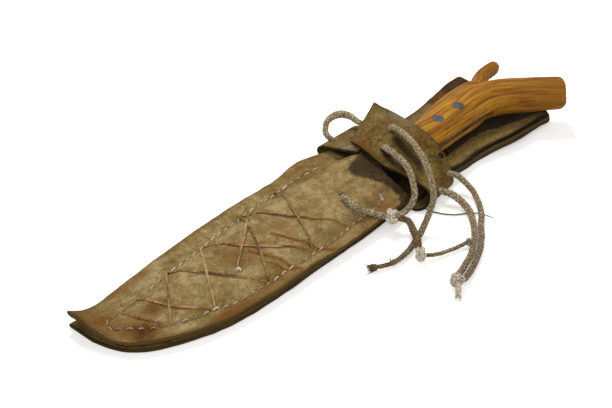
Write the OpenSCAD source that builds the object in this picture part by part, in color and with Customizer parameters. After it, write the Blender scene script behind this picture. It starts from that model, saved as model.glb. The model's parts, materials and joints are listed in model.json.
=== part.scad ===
// Hunting knife with a forked branch for a handle, lying in its laced leather sheath.
// x runs from the sheath's tip to the handle, y towards the spine side, z up.
// The origin is under the middle of the pocket, on the surface that the sheath lies on.

/* [Blade] */
// Width of the blade at its heel
blade_w = 40; // [34:1:42]
// Thickness of the blade's back
blade_t = 3.6; // [2.4:0.2:4.4]
// Thickness left at the cutting edge
edge_t = 0.6; // [0.4:0.1:1]
// Width of the ground bevel above the cutting edge
bevel_w = 20; // [12:1:26]
// Length of the blade from its heel to its point
blade_l = 262; // [240:1:280]
// Length of the flat stretch of blade ahead of the heel
ricasso_l = 8; // [4:0.5:14]
// Length of the tang behind the heel
tang_l = 101; // [80:1:108]
// Width of the tang
tang_w = 26; // [20:1:28]

/* [Handle] */
// Diameter of the branch
handle_d = 29; // [26:0.5:30]
// Diameter of the short prong left on the fork
prong_d = 13; // [10:0.5:15]
// Height of the branch's axis over the blade's middle plane
axis_off = 4.4; // [3:0.2:6]
// Bare length of blade and tang ahead of the handle
neck_l = 18; // [12:1:24]
// Length of the branch from its front to its sawn end, along the knife
handle_l = 137; // [128:1:146]

/* [Rivets] */
// Diameter of a rivet's head
head_d = 8.8; // [7:0.2:10]
// Thickness of a rivet's head
head_t = 2.6; // [1.6:0.2:3.4]
// Diameter of a rivet's shank
shank_d = 5; // [3.5:0.1:6]
// Distance of the first rivet from the front of the handle
rivet_in = 27.5; // [18:1:34]
// Distance between the two rivets
rivet_pitch = 25; // [18:1:34]

/* [Leather] */
// Thickness of the two panels and of the welt between them
leather_t = 2.8; // [2:0.1:3.2]
// Thickness of the liner behind the handle
liner_t = 2.4; // [1.8:0.1:2.8]
// Thickness of the collar's strap
collar_t = 2.4; // [1.8:0.1:2.8]
// Width of the collar's strap
collar_w = 45; // [38:1:48]
// Margin of leather from the blade's back to the spine edge
spine_margin = 34.5; // [30:0.5:38]
// Margin of leather from the cutting edge to the belly edge
belly_margin = 20.5; // [17:0.5:26]
// Leather past the blade's point
tip_margin = 26; // [20:1:32]
// Length of the back panel past the mouth
wing_l = 160; // [140:1:175]
// Width of the seam along the spine edge
spine_seam = 14; // [10:0.5:16]
// Width of the welt and of the seam along the belly edge
welt_w = 9; // [7:0.5:11]
// Height that the belly edge curls up behind the handle
wing_curl = 5; // [2:0.5:8]
// Height that the front panel's tip curls up
tip_curl = 8; // [0:0.5:10]

/* [Cords] */
// Diameter of the braided cord
cord_d = 5; // [4.2:0.2:5.8]
// Diameter of the thin cord
thin_d = 3.2; // [2.6:0.2:4]
// Diameter of the sinew that laces the front
sinew_d = 1.1; // [0.8:0.1:1.6]
// Diameter of the holes punched for the cords
hole_d = 5.6; // [4.6:0.2:6.4]

/* [Clearances] */
// Gap between leather layers
lay_gap = 0.2; // [0.1:0.05:0.3]
// Gap between the knife and the leather round it
knife_gap = 0.4; // [0.3:0.05:0.6]
// Gap round the tang in its slot
tang_gap = 0.15; // [0.1:0.05:0.3]
// Gap round a rivet in its hole
rivet_gap = 0.08; // [0.05:0.01:0.15]

/* [Hidden] */
$fn = 48;

// Places along x: the mouth of the pocket, the collar's strap and the heel of the blade.
mouth_x = 140;
mouth_slant = 28;
strap_x = 125;
heel_x = 150;
handle_x = heel_x + neck_l;
point_x = heel_x - blade_l;
tip_x = point_x - tip_margin;
end_x = mouth_x + wing_l;
// Places along y: the blade's back and edge, and the two edges of the sheath.
back_y = 13;
edge_y = back_y - blade_w;
spine_y = back_y + spine_margin;
belly_y = edge_y - belly_margin;
axis_y = -12.5;
// The knife lies at a slight slope, with the handle on the back panel.
tilt = 2.1;
lift_h = collar_t + lay_gap;
// The rivets stand off the branch's axis, towards the belly side, in a flat carved on its top.
rivet_off = 3;
flat_z = 0.87 * handle_d / 2;
sole_z = -0.96 * handle_d / 2;
handle_low = lift_h + leather_t + knife_gap;
plane_z = handle_low + handle_d / 2 - axis_off - handle_x * tan(tilt);

function mix(a, b, t) = a + (b - a) * t;
function clamp(t) = max(0, min(1, t));
function smooth(t) = let(c = clamp(t)) c * c * (3 - 2 * c);
function unit(v) = v / norm(v);

// Smooth curve through the points p, at t from 0 to 1.
function spline(p, t) =
    let(n = len(p) - 1, s = min(clamp(t) * n, n - 0.0001), i = floor(s), f = s - i)
    let(b = p[i], c = p[i + 1])
    let(a = i > 0 ? p[i - 1] : 2 * b - c, d = i + 2 <= n ? p[i + 2] : 2 * c - b)
    0.5 * (2 * b + (c - a) * f + (2 * a - 5 * b + 4 * c - d) * f * f + (3 * b - a - 3 * c + d) * f * f * f);
function curve(p, n) = [for (i = [0:n]) spline(p, i / n)];

// Height of the blade's middle plane over the ground.
function plane_at(x) = plane_z + x * tan(tilt);

// Faces listed clockwise as seen from outside.
function turned(faces) = [for (f = faces) [for (k = [len(f) - 1:-1:0]) f[k]]];

// Closed solid between two grids of points.
module sheet(low, top) {
    nu = len(low);
    nv = len(low[0]);
    m = nu * nv;
    points = concat([for (r = low) each r], [for (r = top) each r]);
    skin = [for (i = [0:nu - 2]) for (j = [0:nv - 2]) [i * nv + j, i * nv + j + 1, (i + 1) * nv + j + 1, (i + 1) * nv + j]];
    rim = concat([for (i = [0:nu - 2]) i * nv], [for (j = [0:nv - 2]) (nu - 1) * nv + j],
        [for (i = [nu - 1:-1:1]) i * nv + nv - 1], [for (j = [nv - 1:-1:1]) j]);
    n = len(rim);
    polyhedron(convexity = 10, points = points, faces = turned(concat(
        [for (q = skin) each [[q[0], q[1], q[2]], [q[0], q[2], q[3]]]],
        [for (q = skin) each [[m + q[2], m + q[1], m + q[0]], [m + q[3], m + q[2], m + q[0]]]],
        [for (k = [0:n - 1]) let(a = rim[k], b = rim[(k + 1) % n]) each [[a, b, m + b], [a, m + b, m + a]]])));
}

// The same grid moved by h along its normals.
function normal(g, i, j) = unit(cross(g[min(i + 1, len(g) - 1)][j] - g[max(i - 1, 0)][j],
    g[i][min(j + 1, len(g[0]) - 1)] - g[i][max(j - 1, 0)]));
function shifted(g, h) = [for (i = [0:len(g) - 1]) [for (j = [0:len(g[0]) - 1]) g[i][j] + h * normal(g, i, j)]];
function raised(g, h) = [for (r = g) [for (p = r) p + [0, 0, h]]];

// Round tube along the points p, each [x, y, z, radius], with its rings carried without twist.
function heading(p, i) = let(a = p[max(i - 1, 0)], b = p[min(i + 1, len(p) - 1)])
    unit([b[0] - a[0], b[1] - a[1], b[2] - a[2]]);
function carried(v, d) = unit(v - (v * d) * d);
function carry(p, i, v) = i >= len(p) ? [] : let(w = carried(v, heading(p, i))) concat([w], carry(p, i + 1, w));
module tube(p, sides, start) {
    side = carry(p, 0, start);
    n = len(p);
    rings = [for (i = [0:n - 1]) let(c = [p[i][0], p[i][1], p[i][2]], d = heading(p, i), w = cross(d, side[i]))
        [for (k = [0:sides - 1]) c + p[i][3] * (cos(360 * k / sides) * side[i] + sin(360 * k / sides) * w)]];
    loft(rings);
}
module cord(route, d, rings) {
    tube([for (p = curve(route, rings)) [p[0], p[1], p[2], d / 2]], 8, [0.1, 0.2, 1]);
}

// Outline of the leather, belly edge and spine edge side by side, from the tip to the far end.
// Near the tip the rows are measured from it, and behind the mouth from the mouth.
function tip_row(x, belly, spine) = [tip_x + x, belly_y + belly, tip_x + x, spine_y - spine];
function row(x, belly, spine) = [x, belly_y + belly, x, spine_y - spine];
function wing_row(x, belly, spine) = [end_x - x, belly_y + belly, end_x - x, spine_y - spine];
tip_rows = [[tip_x + 0.5, belly_y + 60, tip_x, spine_y - 12.5],
    [tip_x + 4.5, belly_y + 44.5, tip_x + 5.5, spine_y - 12.8], tip_row(11.5, 32, 13), tip_row(27, 20, 12.5),
    tip_row(50, 9.5, 9.5), tip_row(78, 2, 6), tip_row(108, -0.5, 3.5)];
pocket_rows = concat(tip_rows, [row(5, -0.5, 1), row(40, 0, -1), row(75, 0.5, -0.5), row(103, 0.5, -2)]);
back_rows = concat(pocket_rows, [row(125, 0, 2.5), row(150, 0, 7.5), row(175, 0, 11), wing_row(95, 0.5, 12.5),
    wing_row(74, -2.5, 12.3), wing_row(52, -7.5, 10), wing_row(30, -9.5, 6),
    [end_x - 10, belly_y - 9.5, end_x - 13, spine_y - 3], [end_x + 3, belly_y, end_x + 1, spine_y - 2.5]]);
front_rows = concat(pocket_rows, [[mouth_x - mouth_slant, belly_y + 0.5, mouth_x, spine_y - 5]]);

// The back panel climbs over the collar's strap, and its belly edge curls up behind the handle.
function lift(x) = lift_h * smooth((x - strap_x + 50) / 28) * smooth((strap_x + collar_w + 30 - x) / 28);
function curl(x, y) = wing_curl * pow(clamp((belly_y + 14 - y) / 23), 2)
    * smooth((x - strap_x - collar_w - 12) / 55) * (1 - 0.45 * smooth((x - end_x + 22) / 24));
function back_low(x, y) = lift(x) + curl(x, y);
function back_top(x, y) = back_low(x, y) + leather_t;
function welt_low(x, y) = back_top(x, y) + lay_gap;
function welt_share(from_edge) = smooth((welt_w + 13 - from_edge) / 9);
// Underside of the front panel: on the welt at the belly edge, on the back panel at the spine edge.
function seat(x, y, from_edge) = welt_low(x, y) + (leather_t + lay_gap) * welt_share(from_edge);
function crown(x) = plane_at(x) + blade_t / 2 + knife_gap;
function front_low(x, y, from_edge, from_spine) = let(s = seat(x, y, from_edge)) s
    + max(0, crown(x) - s) * smooth((from_edge - welt_w) / 10) * smooth((from_spine - spine_seam) / 15)
    * smooth((x - tip_x - 8) / 14)
    + tip_curl * pow(clamp((tip_x + 26 - x) / 26), 2) * clamp(1 - from_spine / 40);

// Points of a panel from its rows. A bend below 1 brings the belly end of the mouth round.
function across(r, v, bend) = [mix(r[0], r[2], pow(v, bend)), mix(r[1], r[3], v)];
// Steps of the panels along x and across y. Every layer has its rows at the same steps along x,
// three to each outline row, so that the layers lie flat on each other.
back_n = 3 * (len(back_rows) - 1);
front_n = 3 * (len(front_rows) - 1);
function back_grid() = [for (i = [0:back_n]) let(r = spline(back_rows, i / back_n)) [for (j = [0:11])
    let(p = across(r, pow(j / 11, 1.4), 1)) [p[0], p[1], back_low(p[0], p[1])]]];
function front_grid() = [for (i = [0:front_n]) let(r = spline(front_rows, i / front_n)) [for (j = [0:21])
    let(p = across(r, j / 21, 0.4)) [p[0], p[1], front_low(p[0], p[1], p[1] - r[1], r[3] - p[1])]]];

module sheath_back() {
    color("#8a7d52") sheet(back_grid(), raised(back_grid(), leather_t));
}

// Hole in the front panel that the collar's cord is laced to.
front_hole = [83, -15.5, 16];
module sheath_front() {
    color("#94855a") difference() {
        sheet(front_grid(), raised(front_grid(), leather_t));
        translate(front_hole) cylinder(d = hole_d, h = 2 * punch_l, center = true);
    }
}

// Strip between the panels along the belly edge, from the belly of the pocket to the far end.
module edge_welt() {
    grid = [for (i = [10:back_n]) let(r = spline(back_rows, i / back_n)) [for (j = [0:2])
        let(y = r[1] + welt_w * j / 2, x = r[0]) [x, y, welt_low(x, y)]]];
    color("#6b5b38") sheet(grid, raised(grid, leather_t));
}

// Second layer behind the handle; it rides over the welt at the belly edge. Ahead of the handle
// it is a narrow tongue that runs in under the collar, so its last columns are drawn together there.
function liner_column(i, j) = j < 4 || i > 41 ? pow(j / 11, 1.4) : pow(3 / 11, 1.4) + 0.012 * (j - 3);
module back_liner() {
    grid = [for (i = [36:back_n]) let(r = spline(back_rows, min(i / back_n, 0.99))) [for (j = [0:7])
        let(p = across(r, liner_column(i, j), 1), e = p[1] - r[1]) [p[0], p[1], seat(p[0], p[1], e)]]];
    color("#4a3f2b") sheet(grid, raised(grid, liner_t));
}

// Collar: a strap wound 1.3 turns round the sheath, from the free end of the stiff top flap,
// over the handle and down the belly side, under the back panel, up the spine side and in
// under the flap. Each pair is a point on the strap's tip-side edge and one on its handle side.
flap_z = crown(strap_x) + leather_t + 2 * (lay_gap + collar_t) - collar_t / 2;
over_z = handle_low + handle_d + 3 * knife_gap + collar_t / 2;
low_z = collar_t / 2;
function near(x, y, z) = [strap_x + x, y, z];
function far(x, y, z) = [strap_x + collar_w + x, y, z];
strap_near = [near(11.5, 24.5, flap_z - 1.7), near(7, 11, flap_z + 1.7), near(3.5, -3.5, flap_z + 1.4), near(1.5, -19, flap_z),
    near(4, -34, flap_z - 1.5), near(8, -46, flap_z - 5.5), near(10, belly_y - 7.5, 12.5), near(5, belly_y - 11, 5.5),
    near(-1.5, belly_y - 4, low_z), near(0, -30, low_z), near(1, 0, low_z), near(2, 30, low_z),
    near(3, spine_y - 2, low_z), near(3.5, spine_y + 4.5, 5), near(3, spine_y, 11), near(2.5, 32, 16),
    near(2, 21, 20), near(4, 10, 22)];
strap_far = [far(12, 39.5, 31), far(8, 24, 33.5), far(3.5, 6, over_z - 0.3), far(1, -12.5, over_z),
    far(0.5, -28, over_z - 3.5), far(0, -41, over_z - 12.5), far(-1, belly_y - 2, 14), far(-2, belly_y - 5.5, 6),
    far(-3, belly_y - 1, low_z), far(-3, -28, low_z), far(-2, 0, low_z), far(-1, 25, low_z),
    far(0, spine_y - 3, low_z), far(0, spine_y + 4, 5), far(-1, spine_y - 1, 11.5), far(-2, 34, 15.5),
    far(-3, 25, 18.7), far(-4, 16, 20.8)];
function strap_grid() = [for (i = [0:54]) let(a = spline(strap_near, i / 54), b = spline(strap_far, i / 54))
    [for (j = [0:5]) mix(a, b, j / 5)]];

// Holes through the collar, each a place and a lean: two are laced over the top, one is bare
// and the two on the belly side hold the long straps.
collar_holes = [[[158.5, 2.5, 33], [0, -15, 0]], [[139, -7.5, 27], [0, -15, 0]], [[166, -41.5, 25], [40, -10, 0]],
    [[165, -50.5, 14], [90, 0, 0]], [[147.5, -56, 9.3], [90, 0, 0]]];
punch_l = 12;
module punch(at, lean) {
    translate(at) rotate(lean) cylinder(d = hole_d, h = punch_l, center = true);
}

module collar() {
    grid = strap_grid();
    color("#7d7146") difference() {
        sheet(shifted(grid, -collar_t / 2), shifted(grid, collar_t / 2));
        for (h = collar_holes) punch(h[0], h[1]);
    }
}

// The blade is lofted: at each station a back line, a bevel line and the cutting edge.
function belly_of_blade(t) = pow(clamp(t / 0.42), 0.62);
function blade_station(t) = let(x = mix(point_x, heel_x - ricasso_l + 1, t), b = belly_of_blade(t), tip_y = back_y - 5)
    [x, mix(tip_y, back_y, smooth(t / 0.22)), mix(tip_y, edge_y, b)];
module blade() {
    stations = [for (i = [0:24]) blade_station(mix(0.004, 1, pow(i / 24, 1.5)))];
    h = blade_t / 2;
    e = edge_t / 2;
    rings = [for (s = stations) let(m = s[2] + min(bevel_w, 0.62 * (s[1] - s[2])), k = clamp((s[1] - s[2]) / 8))
        let(hh = mix(e, h, 0.1 + 0.9 * k))
        [[s[0], s[1], hh], [s[0], m, hh], [s[0], s[2], e], [s[0], s[2], -e], [s[0], m, -hh], [s[0], s[1], -hh]]];
    tang_end = heel_x + tang_l;
    tang_back = axis_y + tang_w / 2;
    tang_edge = axis_y - tang_w / 2;
    color("#8b9099") in_knife() difference() {
        union() {
            loft(rings);
            translate([heel_x, 0, -h]) linear_extrude(blade_t) polygon([[-ricasso_l, edge_y], [0, edge_y],
                [0, edge_y + 5], [neck_l - 7, tang_edge],
                [tang_l - 6, tang_edge], [tang_l, tang_edge + 8], [tang_l, tang_back - 8], [tang_l - 6, tang_back],
                [neck_l - 7, tang_back], [0, back_y - 1], [0, back_y], [-ricasso_l, back_y]]);
        }
        for (x = rivet_places()) at_rivet(x) cylinder(d = shank_d + 2 * rivet_gap, h = handle_d, center = true);
    }
}

// Closed solid through rings that each hold the same number of points.
module loft(rings) {
    n = len(rings[0]);
    m = len(rings);
    polyhedron(convexity = 6, points = [for (r = rings) each r], faces = turned(concat(
        [[for (k = [n - 1:-1:0]) k]],
        [for (i = [0:m - 2]) for (k = [0:n - 1]) let(a = i * n + k, b = i * n + (k + 1) % n)
            each [[a, b, b + n], [a, b + n, a + n]]],
        [[for (k = [0:n - 1]) (m - 1) * n + k]])));
}

module in_knife() {
    translate([0, 0, plane_z]) rotate([0, -tilt, 0]) children();
}
module at_rivet(x) {
    translate([x, axis_y - rivet_off, axis_off]) children();
}
function rivet_places() = [for (i = [0:1]) handle_x + rivet_in + i * rivet_pitch];

// The handle is a forked branch: a main stem that bends away at the fork, and a short prong.
// Their points are in parts of the handle's length, z and the radius in millimetres.
function stem(x, y, z, r) = [handle_x + x * handle_l, axis_y + y * handle_l, axis_off + z, handle_d / 2 + r];
function prong(x, y, z, r) = [handle_x + x * handle_l, axis_y + y * handle_l, axis_off + z, prong_d / 2 + r];
stem_points = [stem(0, 0, 0, -0.4), stem(0.11, 0, 0, 0), stem(0.27, 0, 0, -0.2), stem(0.42, 0, 0, 0),
    stem(0.55, -0.004, 0, 0.3), stem(0.64, -0.022, 0, 0.5), stem(0.72, -0.064, 0.3, 0.3), stem(0.8, -0.134, 0.7, -0.1),
    stem(0.9, -0.234, 1.2, -0.6), stem(0.985, -0.323, 1.6, -1)];
stem_cap = stem(1.005, -0.345, 1.7, -4);
prong_points = [prong(0.6, 0.035, 0.5, 2), prong(0.69, 0.09, 1, 1), prong(0.77, 0.128, 1.6, 0.1),
    prong(0.85, 0.142, 1.9, -0.4), prong(0.925, 0.144, 2, -0.5), prong(0.965, 0.144, 2, -1.6), prong(0.99, 0.144, 2, -4.2)];
// Lip of wood below the slot, which stands out past the round of the branch.
function lip(x, out, r) = [handle_x + x * handle_l, axis_y - 0.26 * out * handle_d, axis_off - 0.285 * out * handle_d, r * handle_d];
lip_points = [lip(0, 1, 0.2), lip(0.14, 1, 0.212), lip(0.28, 1, 0.21), lip(0.42, 1, 0.212), lip(0.53, 0.95, 0.21), lip(0.62, 0.65, 0.2)];
module handle() {
    slot_h = blade_t + 2 * tang_gap;
    slot_back = axis_y + tang_w / 2 + tang_gap;
    color("#c08a3c") in_knife() difference() {
        union() {
            tube(concat(curve(stem_points, 26), [stem_cap]), 24, [0, 0, 1]);
            tube(curve(prong_points, 14), 16, [0, 0, 1]);
            tube(curve(lip_points, 10), 14, [0, 0, 1]);
        }
        translate([handle_x - handle_d, slot_back - 2 * handle_d, -slot_h / 2])
            cube([heel_x + tang_l + tang_gap - handle_x + handle_d, 2 * handle_d, slot_h]);
        flat();
        for (x = rivet_places()) at_rivet(x) rivet_room();
    }
}

module rivet_room() {
    cylinder(d = shank_d + 2 * rivet_gap, h = handle_d + 4, center = true);
    translate([0, 0, flat_z - head_t - rivet_gap]) cylinder(d = head_d + 2 * rivet_gap, h = 8);
    translate([0, 0, sole_z + head_t + rivet_gap - 8]) cylinder(d = head_d + 2 * rivet_gap, h = 8);
}

// Flat that the maker's knife left on top of the branch, with its two ends running out.
module flat() {
    start = handle_x + rivet_in - head_d;
    end = start + rivet_pitch + 2 * head_d;
    translate([0, axis_y + handle_d, axis_off]) rotate([90, 0, 0]) linear_extrude(2 * handle_d)
        polygon([[start - 14, handle_d / 2 + 1], [start, flat_z], [end, flat_z], [end + 20, handle_d / 2 + 1]]);
}

// A peened pin: a shank through wood and tang, with a head sunk flush at each side.
module rivet(x) {
    color("#6f7f97") in_knife() at_rivet(x) {
        translate([0, 0, sole_z + 1]) cylinder(d = shank_d, h = flat_z - sole_z - 2);
        translate([0, 0, flat_z - head_t]) cylinder(d = head_d, h = head_t);
        translate([0, 0, sole_z]) cylinder(d = head_d, h = head_t);
    }
}
module rivet_front() {
    rivet(rivet_places()[0]);
}
module rivet_rear() {
    rivet(rivet_places()[1]);
}

// Routes of the cords, each from the leather to its free end.
lace_route = [[144, -4.5, 25.5], [140, -7, 29.5], [136.5, -11, 33], [133.5, -16.5, 34.5], [131.5, -22, 36.5],
    [128.5, -28, 37.5], [126.5, -34, 38], [124, -40, 38], [121, -46, 37.5], [117.5, -51.5, 36], [114.5, -56, 33],
    [112.5, -59.5, 28], [110, -61, 22.5], [106.5, -60, 17], [101.5, -58, 13.5], [96, -55, 12], [92, -50.5, 12],
    [88.5, -44.5, 12.5], [85.5, -39.5, 14], [81, -35, 16.5], [77.5, -30.5, 19.5], [77, -25, 21.5], [80, -19, 20.5],
    [83, -15.5, 16.5]];
tie_route = [[144, -4.5, 25.5], [150, -1.5, 25.5], [155.5, 1.5, 28], [158, 2.5, 34], [155.5, -1.5, 38.4],
    [153, -7.5, 40.5], [150, -13, 43], [147.5, -19.5, 44], [144.5, -25.5, 45], [142, -32, 45], [139, -38, 45],
    [136, -44, 44], [133, -50, 43], [129.5, -56, 41], [126.5, -61, 38.5], [123.5, -66, 35], [120.5, -70.5, 30.5],
    [118, -73, 24.5], [115, -73.5, 18.5], [112, -73.5, 12.5], [107.5, -74, 7.5], [101.5, -75.5, 4], [95, -77, 2.6],
    [88.5, -79, 2.6], [82, -81, 2.6], [75.5, -82, 2.6], [68.5, -82.5, 2.6], [62, -82, 2.6], [55.5, -79.5, 2.6], [49.5, -76, 2.6]];
loop_route = [[154, 14, 23.5], [156.5, 18.5, 23.5], [158.5, 23.5, 23.5], [160.5, 28, 23], [161.5, 33, 23],
    [162, 38.5, 22.5], [163, 43.5, 22.5], [164, 48.5, 22.5], [164, 53.5, 22], [163, 58.5, 21], [159.5, 61.5, 20],
    [154.5, 63, 18.5], [149.5, 62, 17], [145.5, 59, 16], [141.5, 55.5, 15.5], [139, 51, 15], [138.5, 46.5, 14],
    [142, 43.5, 12]];
upper_route = [[162.5, -46.5, 14], [165.5, -51.5, 13.5], [169, -56, 12], [169.5, -61.5, 10], [169.5, -67, 7.5],
    [168.5, -72.5, 5.5], [165.5, -77.5, 4.5], [162, -82.5, 4], [158, -87, 4], [154, -91, 4], [149.5, -95, 3.5],
    [144.5, -98.5, 2.6], [139.5, -102, 2.6], [135, -106, 2.6], [130, -110, 2.6], [125, -113, 2.6], [120, -116.5, 2.6],
    [114.5, -119.5, 2.6], [109, -122, 2.6], [103.5, -124.5, 2.6], [98, -126.5, 2.6], [92.5, -128.5, 2.6], [86.5, -130.5, 3.5],
    [81, -131.5, 4]];
lower_route = [[147.5, -51.5, 9.5], [148, -57, 9], [150.5, -62, 8.5], [152, -67, 7], [152.5, -72, 5.5],
    [151.5, -77, 4.5], [149.5, -82, 4], [146.6, -86.8, 4], [142.8, -91.5, 3.5], [138.9, -95.8, 2.6],
    [134.9, -99.3, 2.6], [130.9, -102.8, 2.6], [126.4, -106.3, 2.6], [121.9, -109.3, 2.6],
    [116.9, -112.3, 2.6], [112.4, -114.8, 2.6], [107.4, -117.3, 2.6], [101.9, -119.3, 2.6],
    [96.9, -120.8, 2.6], [91.4, -122.8, 2.6], [86.4, -124.3, 3.5], [81.4, -126.3, 4]];
tail_route = [[97, -55.5, 11], [98.5, -58, 10.5], [100, -60, 10], [101, -62, 9.5], [101, -64.5, 9.5],
    [99.5, -67, 9.5], [98, -69.5, 9.3], [96, -72, 9.5], [94, -75, 9.5], [92, -78, 9.4], [90.5, -80.5, 8.8], [89, -82.5, 8],
    [87, -84.5, 7.5], [85.5, -86.5, 6.5], [83.5, -89, 6]];
bridge_route = [[84.5, -95.5, 4], [86.5, -96.5, 3.5], [88.5, -97.5, 3], [90.5, -98.5, 3], [93, -99.5, 2.5],
    [95, -100.5, 2.5], [97, -101, 2.5], [99.5, -102, 2.5], [101.5, -102.5, 2.5], [104, -103.5, 2.5],
    [106, -104, 2.5], [108.5, -104.5, 2.5], [111, -105, 2.5], [113, -105.5, 2.5], [115, -106, 3]];
sinew_route = [[130.5, -57, 1.5], [131, -60, 1], [132.5, -63.5, 0.6], [134, -67, 0.6], [135.5, -70.5, 0.6],
    [137.5, -73, 0.6], [139.5, -76, 0.6], [142, -78.5, 0.6], [145, -80.5, 0.6], [147.5, -82.5, 0.6],
    [150.5, -85, 0.6], [153, -87.5, 0.6], [155, -90, 0.6], [156, -93.5, 0.6], [156.5, -97, 0.6], [157, -100.5, 0.6]];
stub_route = [[73, -132, 5.5], [70, -135, 4], [66, -138, 2.6]];

module tie_cord() {
    color("#a89a86") cord(tie_route, cord_d, 15);
}
module lace_cord() {
    color("#b0a390") cord(lace_route, cord_d, 13);
}
module loop_cord() {
    color("#b0a390") cord(loop_route, cord_d, 9);
}
module strap_cord_upper() {
    color("#a39580") cord(upper_route, cord_d, 10);
}
module strap_cord_lower() {
    color("#a39580") cord(lower_route, cord_d, 9);
}
module tail_cord() {
    color("#7d5f3c") cord(tail_route, cord_d, 4);
}
module bridge_cord() {
    color("#9a8a70") cord(bridge_route, thin_d, 4);
}
module loose_sinew() {
    color("#4a3826") cord(sinew_route, sinew_d, 8);
}

// Overhand knot drawn tight: a core with two turns of cord round it.
module knot(at, turn, d, turn_d) {
    translate(at) rotate(turn) {
        sphere(d = 0.75 * d);
        for (lean = [0, 65]) rotate([lean, 0, 0]) rotate_extrude() translate([(d - turn_d) / 2, 0]) circle(d = turn_d);
    }
}
module lace_knot() {
    color("#b5aa98") knot([95, -53.5, 12], [60, 20, 0], 2.46 * cord_d, 0.95 * cord_d);
}
module tail_knot() {
    color("#b5aa98") knot([80.5, -92.5, 5.9], [78, 0, 30], 2.24 * cord_d, 0.85 * cord_d);
}
module end_knot() {
    color("#b5aa98") {
        knot([75, -130, 6], [75, 0, -40], 2.3 * cord_d, 0.85 * cord_d);
        cord(stub_route, cord_d - 0.6, 3);
    }
}
module hitch_knot() {
    color("#9a8a70") knot([117.5, -108, 4], [80, 0, 60], 2.2 * thin_d, 0.8 * thin_d);
}

// Sinew lacing across the front: strands from holes at the spine seam to holes at the belly seam.
lace_top = [[-109, 15], [-94, 16], [-60, 23], [-23, 28], [22, 33], [63, 36], [26, 27]];
lace_low = [[-97, -23], [-66, -33], [-20, -39], [26, -38], [66, -38], [-27, -15]];
strands = [[0, 0], [1, 1], [2, 2], [3, 3], [4, 4], [2, 0], [3, 1], [4, 2], [5, 3], [6, 5]];
belly_line = [for (i = [0:60]) let(r = spline(front_rows, i / 60)) [r[0], r[1]]];
spine_line = [for (i = [0:60]) let(r = spline(front_rows, i / 60)) [r[2], r[3]]];
function front_top(x, y) = front_low(x, y, y - lookup(x, belly_line), lookup(x, spine_line) - y) + leather_t;
// Where the leather turns up, a strand bridges the hollow.
function bridged(x, y) = max(front_top(x, y), (front_top(x, y - 3) + front_top(x, y + 3)) / 2);
// A steep strand crosses over a shallow one, so it lies a strand higher.
module front_lacing() {
    color("#6b4a2b") for (i = [0:len(strands) - 1]) {
        a = lace_top[strands[i][0]];
        b = lace_low[strands[i][1]];
        rise = 3.2 * lay_gap + sinew_d * (i < 5 ? 0.5 : 1.6);
        tube([for (k = [0:20]) let(p = mix(a, b, k / 20)) [p[0], p[1], bridged(p[0], p[1]) + rise, sinew_d / 2]], 5,
            [0.1, 0.2, 1]);
    }
}

blade();
handle();
rivet_front();
rivet_rear();
sheath_back();
sheath_front();
edge_welt();
back_liner();
collar();
front_lacing();
tie_cord();
lace_cord();
loop_cord();
strap_cord_upper();
strap_cord_lower();
tail_cord();
bridge_cord();
loose_sinew();
lace_knot();
tail_knot();
end_knot();
hitch_knot();
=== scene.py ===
"""Hunting knife with a forked branch for a handle, lying in its laced leather sheath.

The CAD model is loaded as a fixed frame. The leather, the branch, the cords and the sinew are built
again here with their finer form, and the steel parts keep their CAD shapes under a new finish.
x runs from the sheath's tip to the handle, y towards the spine side, z up. Sizes in the classes
are in millimetres, and meshes are made in metres.
"""

from __future__ import annotations

import json
import logging
import math
import sys
from dataclasses import dataclass, field
from enum import Enum

import bmesh
import bpy
import numpy as np
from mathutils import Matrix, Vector

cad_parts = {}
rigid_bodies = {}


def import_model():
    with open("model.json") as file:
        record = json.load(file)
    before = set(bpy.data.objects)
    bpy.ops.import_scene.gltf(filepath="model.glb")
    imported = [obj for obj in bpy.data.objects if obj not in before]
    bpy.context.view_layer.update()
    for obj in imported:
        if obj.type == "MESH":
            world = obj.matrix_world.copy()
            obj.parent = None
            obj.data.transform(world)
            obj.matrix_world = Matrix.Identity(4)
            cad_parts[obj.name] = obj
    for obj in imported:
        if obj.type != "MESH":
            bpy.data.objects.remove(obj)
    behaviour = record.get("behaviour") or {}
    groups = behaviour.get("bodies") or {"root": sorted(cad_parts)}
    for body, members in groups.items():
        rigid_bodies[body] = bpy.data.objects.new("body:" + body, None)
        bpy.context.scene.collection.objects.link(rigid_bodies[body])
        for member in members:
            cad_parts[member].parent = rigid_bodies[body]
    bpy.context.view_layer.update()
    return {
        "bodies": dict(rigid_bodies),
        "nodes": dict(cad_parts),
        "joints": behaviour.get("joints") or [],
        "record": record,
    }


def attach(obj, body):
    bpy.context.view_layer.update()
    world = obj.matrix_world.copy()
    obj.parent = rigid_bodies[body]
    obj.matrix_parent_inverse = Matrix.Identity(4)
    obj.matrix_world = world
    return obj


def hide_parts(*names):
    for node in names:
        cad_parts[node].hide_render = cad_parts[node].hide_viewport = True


LOG = logging.getLogger("knife")
MM = 0.001
Array = np.ndarray
Point = tuple[float, float, float]
Piece = bpy.types.Object
Material = bpy.types.Material
Socket = bpy.types.NodeSocket


class Body(str, Enum):
    """The two bodies of the model."""

    SHEATH = "sheath"
    KNIFE = "knife"


def clamp(t: Array | float) -> Array:
    """Returns t held between 0 and 1."""
    return np.clip(t, 0.0, 1.0)


def smooth(t: Array | float) -> Array:
    """Returns a soft step that goes from 0 to 1 as t does."""
    c = clamp(t)
    return c * c * (3.0 - 2.0 * c)


def marked(*values: Array | float) -> Array:
    """Returns four numbers from 0 to 1 for each place, zeros for those that aren't given."""
    return clamp(np.stack(np.broadcast_arrays(*values, *[0.0] * (4 - len(values))), axis=-1))


def unit(v: Array) -> Array:
    """Returns vectors at length 1."""
    return v / np.maximum(np.linalg.norm(v, axis=-1, keepdims=True), 1e-9)


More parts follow.
